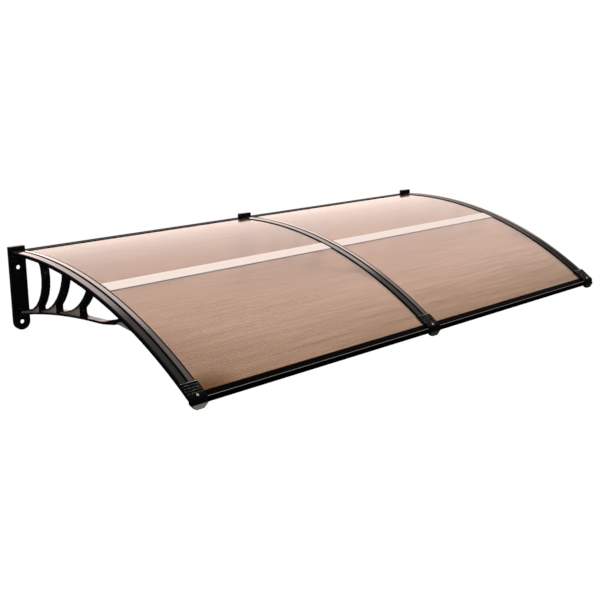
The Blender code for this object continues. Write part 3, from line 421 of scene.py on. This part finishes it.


# Front clamps: ribbed ABS mouldings that close each bracket's front end over the rail and the sheets.
# Rain drips from the nose below. Polished black, with a painted highlight in pale grey on the ribs' flanks;
# only the left nose reads as grey in the studio picture, so each nose has a grey of its own, which is painted
# light.
CLAMP_BLACK = "#060606"
# Painted highlight: the pale grey on the ribs' flanks.
CLAMP_RIB_HIGHLIGHT_GREY = "#d8d6d0"
# Painted light: the grey on the front of each nose, set per side.
CLAMP_NOSE_LIT_GREY = {"left": "#6a6862", "middle": "#2a2a28", "right": "#1c1c1b"}
CLAMP_EDGE_RADIUS = 0.0004
CLAMP_ROUGHNESS = 0.24
RIB_FLANK_TILT = math.radians(70.0)
RIB_FLANK_SPREAD = math.radians(24.0)
RIBS_FRONT = -0.9615
NOSE_FACE_TILT = math.radians(95.0)
NOSE_FACE_SPREAD = math.radians(8.0)
NOSE_SHOULDER_DROP = 0.0180


def facing_mask(tree, tilt, spread):
    """One where the surface leans this far forward from level, give or take the spread, else nought."""
    place = add_node(tree, "ShaderNodeTexCoord")
    lean = add_node(tree, "ShaderNodeVectorMath", {
        "operation": "DOT_PRODUCT", 1: (0.0, -math.sin(tilt), math.cos(tilt))}, {0: place.outputs["Normal"]})
    return add_node(tree, "ShaderNodeMapRange", {
        "interpolation_type": "SMOOTHSTEP", "From Min": math.cos(spread * 1.15), "From Max": math.cos(spread)},
        {"Value": lean.outputs["Value"]})


def clamp_plastic(name, face):
    """Black ABS with a painted highlight in pale grey on the ribs' flanks, and its own painted light grey on
    the front of the nose.
    """
    material, tree, shader = new_material(name, Roughness=CLAMP_ROUGHNESS, IOR=ABS_IOR, Specular_IOR_Level=0.06)
    grain_bump(tree, shader, SPARK_GRAIN, SPARK_GRAIN_HEIGHT)
    place = add_node(tree, "ShaderNodeTexCoord")
    parts = add_node(tree, "ShaderNodeSeparateXYZ", None, {"Vector": place.outputs["Object"]})
    on_ribs = add_node(tree, "ShaderNodeMath", {"operation": "GREATER_THAN", 1: RIBS_FRONT},
                       {0: parts.outputs["Y"]})
    shoulder = float(arch_points(FRONT_ANGLE, 0.0)[1]) - NOSE_SHOULDER_DROP
    on_nose = add_node(tree, "ShaderNodeMath", {"operation": "LESS_THAN", 1: shoulder}, {0: parts.outputs["Z"]})
    rib_flank = facing_mask(tree, RIB_FLANK_TILT, RIB_FLANK_SPREAD)
    nose_face = facing_mask(tree, NOSE_FACE_TILT, NOSE_FACE_SPREAD)
    # Painted highlight on the ribs' flanks.
    rib_highlight = add_node(tree, "ShaderNodeMath", {"operation": "MULTIPLY"},
                          {0: rib_flank.outputs["Result"], 1: on_ribs.outputs[0]})
    # Painted light on the front of the nose.
    lit_nose = add_node(tree, "ShaderNodeMath", {"operation": "MULTIPLY"},
                         {0: nose_face.outputs["Result"], 1: on_nose.outputs[0]})
    edges = add_node(tree, "ShaderNodeMix", {
        "data_type": "RGBA", 6: linear(CLAMP_BLACK), 7: linear(CLAMP_RIB_HIGHLIGHT_GREY)}, {0: rib_highlight.outputs[0]})
    colour = add_node(tree, "ShaderNodeMix", {"data_type": "RGBA", 7: linear(face)},
                      {0: lit_nose.outputs[0], 6: edges.outputs[2]})
    tree.links.new(colour.outputs[2], shader.inputs["Base Color"])
    return material


for side in SIDES:
    clamp = softened_copy(f"front_clamp_{side}", f"ribbed_front_clamp_{side}", CLAMP_EDGE_RADIUS)
    clamp_finish = clamp_plastic(f"polished black ABS clamp, {side}", CLAMP_NOSE_LIT_GREY[side])
    dress(clamp, clamp_finish, f"front_clamp_{side}")


# Screws: pan heads with a cross recess. The clamp screws are bright plated steel, the cover screws blackened.
# Each holds its piece down through a clearance hole.
SCREW_DIAMETER = 0.0040
SCREW_HEAD_HEIGHT = 0.0024
SCREW_LENGTH = 0.0150
SCREW_POINT = 0.0020
RECESS_HALF_WIDTH = 0.0006
RECESS_REACH = 0.0024
RECESS_DEPTH = 0.0013
RECESS_WALL = 0.0002
RECESS_END_SLOPE = 0.0005
HEAD_CENTRE_RADIUS = 0.0001
SCREW_TIP_RADIUS = 0.0002
HEAD_RINGS = 26
SCREW_SIDES = 48
PLATED_GRAIN = 0.0008
PLATED_GRAIN_HEIGHT = 0.00002
CLAMP_SCREW_BACK = 0.0048
CLAMP_TOP_ABOVE_RIDGE = 0.0015


def pan_head_screw(name, across, angle, seat):
    """Screw turned about its axis, with a cross recess pressed into the head.

    The head's height at radius r is H sqrt(1 - (r / R)^2), less the recess depth where the smaller of
    |x| and |y| is inside the arm's half width and the larger is inside its reach.
    """
    head = SCREW_HEAD_DIAMETER / 2
    radii = np.linspace(HEAD_CENTRE_RADIUS, head, HEAD_RINGS)
    heights = SEAT_CLEARANCE + SCREW_HEAD_HEIGHT * np.sqrt(np.maximum(0.0, 1 - (radii / head) ** 2))
    radii = np.append(radii, [SCREW_DIAMETER / 2, SCREW_DIAMETER / 2, SCREW_TIP_RADIUS])
    heights = np.append(heights, [SEAT_CLEARANCE, SCREW_POINT - SCREW_LENGTH, -SCREW_LENGTH])
    turns = np.linspace(0.0, 2 * math.pi, SCREW_SIDES, endpoint=False)
    x = radii[:, None] * np.cos(turns)
    y = radii[:, None] * np.sin(turns)
    arm = np.clip((RECESS_HALF_WIDTH - np.minimum(abs(x), abs(y))) / RECESS_WALL, 0.0, 1.0)
    reach = np.clip((RECESS_REACH - np.maximum(abs(x), abs(y))) / RECESS_END_SLOPE, 0.0, 1.0)
    on_head = (heights > SEAT_CLEARANCE)[:, None]
    z = heights[:, None] - RECESS_DEPTH * arm * reach * on_head
    turned = Matrix.Translation((across, -seat[0], seat[1])) @ Matrix.Rotation(angle, 4, "X")
    turned = np.array(turned)
    rings = np.stack([x, y, z], -1) @ turned[:3, :3].T + turned[:3, 3]
    return ringed_piece(name, rings)


steel_finish, steel_tree, steel_shader = new_material(
    "bright zinc-plated steel", Base_Color=linear("#d9d9d6"), Metallic=0.6, Roughness=0.30)
grain_bump(steel_tree, steel_shader, PLATED_GRAIN, PLATED_GRAIN_HEIGHT)
black_steel_finish, black_steel_tree, black_steel_shader = new_material(
    "blackened steel", Base_Color=linear("#1c1b1a"), Metallic=1.0, Roughness=0.38)
grain_bump(black_steel_tree, black_steel_shader, PLATED_GRAIN, PLATED_GRAIN_HEIGHT)
for side in SIDES:
    low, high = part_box(f"bracket_{side}")
    centre = (low.x + high.x) / 2
    screw = pan_head_screw(f"pan_head_clamp_screw_{side}", centre, FRONT_ANGLE,
                           near_arch(FRONT_ANGLE, -CLAMP_SCREW_BACK, -CLAMP_TOP_ABOVE_RIDGE))
    dress(screw, steel_finish, f"clamp_screw_{side}")
    turn = arch_angle(COVER_SCREW_FORWARD)
    screw = pan_head_screw(f"pan_head_cover_screw_{side}", centre, turn, arch_points(turn, STRIP_GROOVE_DEPTH))
    dress(screw, black_steel_finish, f"cover_screw_{side}")


# Sheets: extruded twin-wall polycarbonate, two brown skins joined by thin webs that run along the wall.
# The webs show as fine streaks, blur what lies below, and the skins mirror the backdrop at low angles.
# Each is bent over the brackets and slides under the cover strips and into the rails and the joint bar.
BAYS = ("left", "right")
ROWS = ("rear", "front")
SHEET_TOP_DEPTH = 0.0053
SHEET_BOTTOM_DEPTH = 0.0093
SHEET_SKIN = 0.0006
SHEET_FLUTE_PITCH = 0.00675
SHEET_TINT = "#dcc4b0"
SHEET_STREAK = "#cdb29c"
# Painted shade: the brown of the corner by the left clamp.
SHEET_CORNER_SHADE = "#a8865f"
STREAK_NOISE_SCALE = 2.0
STREAK_STRETCH = (1.6, 70.0, 70.0)
STREAK_DETAIL = 3.0
STREAK_FROM = 0.36
STREAK_TO = 0.66
CORNER_SHADE_REAR = -0.885
CORNER_SHADE_FRONT = -0.950
CORNER_SHADE_RIGHT = -0.790
CORNER_SHADE_LEFT = -0.925


def brown_polycarbonate(name, corner_shaded):
    """Tinted clear plastic with fine extrusion streaks, and where asked, a brown corner by the clamp that is
    painted shade.

    The streaks are noise about 7 mm across the flutes and 300 mm along them, coarse enough to show.
    """
    material, tree, shader = new_material(name, Roughness=0.12, IOR=1.585, Transmission_Weight=0.96)
    place = add_node(tree, "ShaderNodeTexCoord")
    stretch = add_node(tree, "ShaderNodeMapping", {"Scale": STREAK_STRETCH},
                       {"Vector": place.outputs["Object"]})
    noise = add_node(tree, "ShaderNodeTexNoise", {"Scale": STREAK_NOISE_SCALE, "Detail": STREAK_DETAIL},
                     {"Vector": stretch.outputs["Vector"]})
    streaks = add_node(tree, "ShaderNodeMapRange", {"From Min": STREAK_FROM, "From Max": STREAK_TO},
                       {"Value": noise.outputs["Fac"]})
    colour = add_node(tree, "ShaderNodeMix", {"data_type": "RGBA", 6: linear(SHEET_TINT),
                                              7: linear(SHEET_STREAK)}, {0: streaks.outputs["Result"]})
    # Painted shade: a brown corner by the clamp.
    if corner_shaded:
        parts = add_node(tree, "ShaderNodeSeparateXYZ", None, {"Vector": place.outputs["Object"]})
        ahead = add_node(tree, "ShaderNodeMapRange", {
            "interpolation_type": "SMOOTHSTEP", "From Min": CORNER_SHADE_REAR, "From Max": CORNER_SHADE_FRONT},
            {"Value": parts.outputs["Y"]})
        aside = add_node(tree, "ShaderNodeMapRange", {
            "interpolation_type": "SMOOTHSTEP", "From Min": CORNER_SHADE_RIGHT, "From Max": CORNER_SHADE_LEFT},
            {"Value": parts.outputs["X"]})
        amount = add_node(tree, "ShaderNodeMath", {"operation": "MULTIPLY"},
                          {0: ahead.outputs["Result"], 1: aside.outputs["Result"]})
        colour = add_node(tree, "ShaderNodeMix", {"data_type": "RGBA", 7: linear(SHEET_CORNER_SHADE)},
                          {0: amount.outputs[0], 6: colour.outputs[2]})
    tree.links.new(colour.outputs[2], shader.inputs["Base Color"])
    return material


def twin_wall_piece(name, x_range, start, end):
    """Two skins and the webs between them, carried straight along the wall with open flutes.

    The section is a grid of angles and depths. A cell of it is solid in both skins, and in the webs, which
    stand every flute pitch. Each side where a solid cell meets an empty one becomes a wall.
    """
    count = max(1, round((end - start) * ARCH_RADIUS / SHEET_FLUTE_PITCH))
    middles = np.linspace(start, end, count + 1)
    half_web = SHEET_SKIN / 2 / ARCH_RADIUS
    angles = np.stack([middles - half_web, middles + half_web], -1).ravel()
    angles = np.clip(angles, start, end)
    angles[[1, -2]] += np.array([1.0, -1.0]) * half_web
    depths = np.array([SHEET_TOP_DEPTH, SHEET_TOP_DEPTH + SHEET_SKIN, SHEET_BOTTOM_DEPTH - SHEET_SKIN,
                       SHEET_BOTTOM_DEPTH])
    line = arch_points(angles[:, None], depths[None, :])
    points = np.empty((2, *line.shape[:2], 3))
    points[..., 0] = np.array(x_range)[:, None, None]
    points[..., 1] = -line[..., 0]
    points[..., 2] = line[..., 1]
    index = np.arange(points[..., 0].size).reshape(points.shape[:3])
    solid = np.ones((len(angles) - 1, 3), bool)
    solid[1::2, 1] = False
    cells = np.argwhere(solid)
    ends = [index[face][cells[:, 0] + da, cells[:, 1] + dd]
            for face in (0, 1) for da, dd in ((0, 0), (1, 0), (1, 1), (0, 1))]
    faces = np.concatenate([np.stack(ends[:4], -1), np.stack(ends[4:], -1)])
    framed = np.pad(solid, 1)
    a, d = np.argwhere(framed[1:, 1:-1] != framed[:-1, 1:-1]).T
    faces = np.concatenate([faces, np.stack([index[0][a, d], index[0][a, d + 1],
                                             index[1][a, d + 1], index[1][a, d]], -1)])
    a, d = np.argwhere(framed[1:-1, 1:] != framed[1:-1, :-1]).T
    faces = np.concatenate([faces, np.stack([index[0][a, d], index[0][a + 1, d],
                                             index[1][a + 1, d], index[1][a, d]], -1)])
    return new_piece(name, points, faces.tolist())


clean_sheet = brown_polycarbonate("brown extruded polycarbonate", False)
corner_shaded_sheet = brown_polycarbonate("brown extruded polycarbonate, painted corner shade", True)
for bay in BAYS:
    for row in ROWS:
        low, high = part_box(f"sheet_{bay}_{row}")
        start = arch_angle(-high.y, SHEET_BOTTOM_DEPTH if row == "front" else SHEET_TOP_DEPTH)
        end = arch_angle(-low.y, SHEET_TOP_DEPTH)
        sheet = twin_wall_piece(f"twin_wall_sheet_{bay}_{row}", (low.x, high.x), start, end)
        finish = corner_shaded_sheet if (bay, row) == ("left", "front") else clean_sheet
        dress(sheet, finish, f"sheet_{bay}_{row}")


# Joint bars: pale anodised aluminium H-sections that join the rear and front sheets.
# The etched surface scatters light, so they look almost white from every side, with a fine centre groove.
BAR_FORWARD = 0.496
BAR_WIDTH = 0.0500
BAR_FLANGE = 0.0015
BAR_WEB = 0.0020
BAR_GROOVE_WIDTH = 0.0030
BAR_GROOVE_DEPTH = 0.0006
BAR_EDGE_RADIUS = 0.0003
SEAT_GAP = 0.0003


def straight_piece(name, outline, x_range, radius):
    """Outline of (forward, up) points, with rounded corners, carried straight along the wall."""
    section = rounded_outline(outline, radius)
    rings = np.empty((2, len(section), 3))
    rings[..., 0] = np.array(x_range)[:, None]
    rings[..., 1] = -section[:, 0]
    rings[..., 2] = section[:, 1]
    return ringed_piece(name, rings)


def bar_outline():
    """H-section that follows the arch, with a groove along the middle of its upper flange."""
    middle = arch_angle(BAR_FORWARD)
    half = BAR_WIDTH / 2 / ARCH_RADIUS
    web = BAR_WEB / 2 / ARCH_RADIUS
    groove = BAR_GROOVE_WIDTH / 2 / ARCH_RADIUS
    seat = SHEET_TOP_DEPTH - SEAT_GAP
    below = SHEET_BOTTOM_DEPTH + SEAT_GAP
    top = seat - BAR_FLANGE
    places = [(-half, top), (-half / 2, top), (-groove, top), (0.0, top + BAR_GROOVE_DEPTH), (groove, top),
              (half / 2, top), (half, top), (half, seat), (web, seat), (web, below), (half, below),
              (half, below + BAR_FLANGE), (0.0, below + BAR_FLANGE), (-half, below + BAR_FLANGE),
              (-half, below), (-web, below), (-web, seat), (-half, seat)]
    return [arch_points(middle + turn, depth) for turn, depth in places]


bar_finish, bar_tree, bar_shader = new_material(
    "pale anodised aluminium", Base_Color=linear("#e8dad2"), Metallic=0.2, Roughness=0.50)
grain_bump(bar_tree, bar_shader, 0.002, 0.00002, (0.05, 1.0, 1.0))
for bay in BAYS:
    low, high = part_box(f"joint_bar_{bay}")
    bar = straight_piece(f"grooved_joint_bar_{bay}", bar_outline(), (low.x, high.x), BAR_EDGE_RADIUS)
    dress(bar, bar_finish, f"joint_bar_{bay}")


# Edge rails: black coated aluminium channels over the front and rear edges of the sheets.
# The front one has a rounded bead with a painted highlight in pale grey, above an upright face with a drip
# edge.
EDGE_RAIL_WALL = 0.0018
FRONT_LIP = 0.0165
FRONT_LOWER_LIP = 0.0125
FRONT_NOSE_REACH = 0.0050
FRONT_FACE_HEIGHT = 0.0160
FRONT_BEAD_RADIUS = 0.0022
FRONT_BEAD_RISE = 0.0005
SHEET_REAR_FORWARD = 0.0165
REAR_RAIL_BACK_FORWARD = 0.0030
REAR_LIP = 0.0080
SEAL_FREE_FORWARD = 0.0002
SEAL_HEIGHT = 0.0110
RAIL_EDGE_RADIUS = 0.0003
RAIL_BLACK = "#030202"
# Painted highlight: the pale grey along the front rail's bead.
RAIL_BEAD_HIGHLIGHT_GREY = "#8f8e8a"
BEAD_TILT = math.radians(64.0)
BEAD_SPREAD = math.radians(11.0)
COATING_GRAIN = 0.0015
COATING_GRAIN_HEIGHT = 0.00003
RAIL_TOP = SHEET_TOP_DEPTH - SEAT_GAP - EDGE_RAIL_WALL
RAIL_UNDERSIDE = SHEET_BOTTOM_DEPTH + SEAT_GAP + EDGE_RAIL_WALL


def front_rail_outline():
    """Channel over the sheet's front edge: lip, bead of constant radius, upright face and drip edge."""
    slot = 2 * SEAT_GAP
    radius = FRONT_BEAD_RADIUS
    centre = near_arch(FRONT_ANGLE, FRONT_NOSE_REACH - radius, RAIL_TOP - FRONT_BEAD_RISE + radius)
    first = FRONT_ANGLE - math.acos(1 - FRONT_BEAD_RISE / radius)
    turns = np.linspace(first, math.pi / 2, 12)
    bead = centre + radius * np.stack([np.sin(turns), np.cos(turns)], -1)
    face = centre[0] + radius
    drip = centre[1] - FRONT_FACE_HEIGHT
    return [near_arch(FRONT_ANGLE, -FRONT_LIP, SHEET_TOP_DEPTH - SEAT_GAP),
            near_arch(FRONT_ANGLE, -FRONT_LIP, RAIL_TOP + EDGE_RAIL_WALL / 2),
            near_arch(FRONT_ANGLE, -FRONT_LIP + EDGE_RAIL_WALL, RAIL_TOP),
            *bead,
            (face, drip),
            (face - EDGE_RAIL_WALL, drip),
            (face - EDGE_RAIL_WALL, centre[1] - FRONT_FACE_HEIGHT / 2),
            near_arch(FRONT_ANGLE, slot + EDGE_RAIL_WALL, RAIL_UNDERSIDE),
            near_arch(FRONT_ANGLE, -FRONT_LOWER_LIP, RAIL_UNDERSIDE),
            near_arch(FRONT_ANGLE, -FRONT_LOWER_LIP, SHEET_BOTTOM_DEPTH + SEAT_GAP),
            near_arch(FRONT_ANGLE, slot, SHEET_BOTTOM_DEPTH + SEAT_GAP),
            near_arch(FRONT_ANGLE, slot, SHEET_TOP_DEPTH - SEAT_GAP)]


def rear_rail_outline():
    """Channel over the sheet's rear edge, with a flat back for the seal."""
    angle = arch_angle(SHEET_REAR_FORWARD)
    slot = -2 * SEAT_GAP
    top_back = near_arch(angle, slot - EDGE_RAIL_WALL, RAIL_TOP)
    bottom_back = near_arch(angle, slot - EDGE_RAIL_WALL, RAIL_UNDERSIDE)
    return [(REAR_RAIL_BACK_FORWARD, bottom_back[1]), (REAR_RAIL_BACK_FORWARD, top_back[1]), top_back,
            near_arch(angle, REAR_LIP, RAIL_TOP),
            near_arch(angle, REAR_LIP, SHEET_TOP_DEPTH - SEAT_GAP),
            near_arch(angle, slot, SHEET_TOP_DEPTH - SEAT_GAP),
            near_arch(angle, slot, SHEET_BOTTOM_DEPTH + SEAT_GAP),
            near_arch(angle, REAR_LIP, SHEET_BOTTOM_DEPTH + SEAT_GAP),
            near_arch(angle, REAR_LIP, RAIL_UNDERSIDE), bottom_back]


def seal_outline():
    """Rubber strip between the rear rail and the wall, with its back corners bevelled."""
    middle = arch_points(arch_angle(SHEET_REAR_FORWARD), (SHEET_TOP_DEPTH + SHEET_BOTTOM_DEPTH) / 2)[1]
    back = SEAL_FREE_FORWARD
    front = REAR_RAIL_BACK_FORWARD - SEAT_GAP
    half = SEAL_HEIGHT / 2
    bevel = (front - back) / 3
    return [(back, middle - half + bevel), (back, middle + half - bevel), (back + bevel, middle + half),
            (front, middle + half), (front, middle - half), (back + bevel, middle - half)]


rail_finish, rail_tree, rail_shader = new_material(
    "black coated aluminium", Roughness=0.40, IOR=1.5, Specular_IOR_Level=0.012)
grain_bump(rail_tree, rail_shader, COATING_GRAIN, COATING_GRAIN_HEIGHT)
# Painted highlight on the bead.
bead_highlight = facing_mask(rail_tree, BEAD_TILT, BEAD_SPREAD)
rail_colour = add_node(rail_tree, "ShaderNodeMix", {
    "data_type": "RGBA", 6: linear(RAIL_BLACK), 7: linear(RAIL_BEAD_HIGHLIGHT_GREY)},
    {0: bead_highlight.outputs["Result"]})
rail_tree.links.new(rail_colour.outputs[2], rail_shader.inputs["Base Color"])
plain_rail_finish, plain_rail_tree, plain_rail_shader = new_material(
    "black coated aluminium, no painted highlight", Base_Color=linear(RAIL_BLACK), Roughness=0.45, IOR=1.5,
    Specular_IOR_Level=0.05)
grain_bump(plain_rail_tree, plain_rail_shader, COATING_GRAIN, COATING_GRAIN_HEIGHT)
seal_finish, seal_tree, seal_shader = new_material(
    "black extruded rubber", Base_Color=linear("#151414"), Roughness=0.75, IOR=1.5)
grain_bump(seal_tree, seal_shader, 0.001, 0.00005, (0.1, 1.0, 1.0))
for bay in BAYS:
    for kind, outline, finish, slot in (
            ("front_rail", front_rail_outline(), rail_finish, "black_coated_rail"),
            ("rear_rail", rear_rail_outline(), plain_rail_finish, "black_coated_rail"),
            ("wall_seal", seal_outline(), seal_finish, "black_rubber")):
        low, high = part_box(f"{kind}_{bay}")
        rail = straight_piece(f"extruded_{kind}_{bay}", outline, (low.x, high.x), RAIL_EDGE_RADIUS)
        dress(rail, finish, f"{kind}_{bay}")


# Studio: a white floor as far below as a doorstep is, a backdrop behind to the right, and a soft lamp.
# Only gloss sees the backdrop. It is warm and brighter than white, so that the sheets mirror it strongly.
# It ends upwards, at both sides and towards the front, and the rest of the room is dark in gloss.
FLOOR_DROP = 2.3
BACKDROP_GLOSS = (1.86, 1.54, 1.43, 1.0)
BACKDROP_TOP = (0.74, 0.86)
BACKDROP_NEAR_END = (-0.12, 0.26)
BACKDROP_LEFT_END = (-0.04, 0.12)
BACKDROP_RIGHT_END = (0.88, 0.95)
STUDIO_DARK = (0.10, 0.10, 0.10, 1.0)
FLOOR_GLOSS = (0.02, 0.02, 0.02, 1.0)
WHITE = (1.0, 1.0, 1.0, 1.0)

world = bpy.data.worlds.new("studio")
world.use_nodes = True
bpy.context.scene.world = world
world_tree = world.node_tree
background = world_tree.nodes["Background"]
rays = add_node(world_tree, "ShaderNodeLightPath")
direction = add_node(world_tree, "ShaderNodeTexCoord")
heading = add_node(world_tree, "ShaderNodeSeparateXYZ", None, {"Vector": direction.outputs["Generated"]})
below_top = add_node(world_tree, "ShaderNodeMapRange", {
    "interpolation_type": "SMOOTHSTEP", "From Min": BACKDROP_TOP[1], "From Max": BACKDROP_TOP[0]},
    {"Value": heading.outputs["Z"]})
past_left = add_node(world_tree, "ShaderNodeMapRange", {
    "interpolation_type": "SMOOTHSTEP", "From Min": BACKDROP_LEFT_END[0], "From Max": BACKDROP_LEFT_END[1]},
    {"Value": heading.outputs["X"]})
before_right = add_node(world_tree, "ShaderNodeMapRange", {
    "interpolation_type": "SMOOTHSTEP", "From Min": BACKDROP_RIGHT_END[1], "From Max": BACKDROP_RIGHT_END[0]},
    {"Value": heading.outputs["X"]})
behind = add_node(world_tree, "ShaderNodeMapRange", {
    "interpolation_type": "SMOOTHSTEP", "From Min": BACKDROP_NEAR_END[0], "From Max": BACKDROP_NEAR_END[1]},
    {"Value": heading.outputs["Y"]})
lit = below_top
for share in (past_left, before_right, behind):
    lit = add_node(world_tree, "ShaderNodeMath", {"operation": "MULTIPLY"},
                   {0: lit.outputs[0], 1: share.outputs["Result"]})
gloss = add_node(world_tree, "ShaderNodeMix", {"data_type": "RGBA", 6: STUDIO_DARK, 7: BACKDROP_GLOSS},
                 {0: lit.outputs[0]})
seen = add_node(world_tree, "ShaderNodeMix", {"data_type": "RGBA", 6: WHITE},
                {0: rays.outputs["Is Glossy Ray"], 7: gloss.outputs[2]})
world_tree.links.new(seen.outputs[2], background.inputs["Color"])

FLOOR_HALF = 30.0
floor_mesh = bpy.data.meshes.new("floor")
floor_mesh.from_pydata([(-FLOOR_HALF, -FLOOR_HALF, -FLOOR_DROP), (FLOOR_HALF, -FLOOR_HALF, -FLOOR_DROP),
                        (FLOOR_HALF, FLOOR_HALF, -FLOOR_DROP), (-FLOOR_HALF, FLOOR_HALF, -FLOOR_DROP)],
                       [], [(0, 1, 2, 3)])
floor = bpy.data.objects.new("floor", floor_mesh)
bpy.context.scene.collection.objects.link(floor)
floor_paint, floor_tree, floor_shader = new_material("white studio floor", Base_Color=(0.9, 0.9, 0.9, 1.0),
                                                     Roughness=0.8)
floor_rays = add_node(floor_tree, "ShaderNodeLightPath")
dim = add_node(floor_tree, "ShaderNodeEmission", {"Color": FLOOR_GLOSS, "Strength": 1.0})
in_gloss = add_node(floor_tree, "ShaderNodeMixShader", None,
                    {0: floor_rays.outputs["Is Glossy Ray"], 1: floor_shader.outputs[0], 2: dim.outputs[0]})
shows = add_node(floor_tree, "ShaderNodeMath", {"operation": "MAXIMUM"},
                 {0: floor_rays.outputs["Is Camera Ray"], 1: floor_rays.outputs["Is Transmission Ray"]})
glow = add_node(floor_tree, "ShaderNodeEmission", {"Color": WHITE, "Strength": 1.0})
blend = add_node(floor_tree, "ShaderNodeMixShader", None,
                 {0: shows.outputs[0], 1: in_gloss.outputs[0], 2: glow.outputs[0]})
floor_tree.links.new(blend.outputs[0], floor_tree.nodes["Material Output"].inputs["Surface"])
floor_mesh.materials.append(floor_paint)

KEY_PLACE = (-3.5, -2.5, 3.5)
KEY_SIZE = 2.0
KEY_POWER = 40.0
key_data = bpy.data.lights.new("key", "AREA")
key_data.shape = "SQUARE"
key_data.size = KEY_SIZE
key_data.energy = KEY_POWER
key = bpy.data.objects.new("key", key_data)
key.location = KEY_PLACE
key.rotation_euler = (Vector((0.0, -0.5, 0.0)) - Vector(KEY_PLACE)).to_track_quat("-Z", "Y").to_euler()
bpy.context.scene.collection.objects.link(key)

bpy.context.scene.view_settings.view_transform = "Standard"
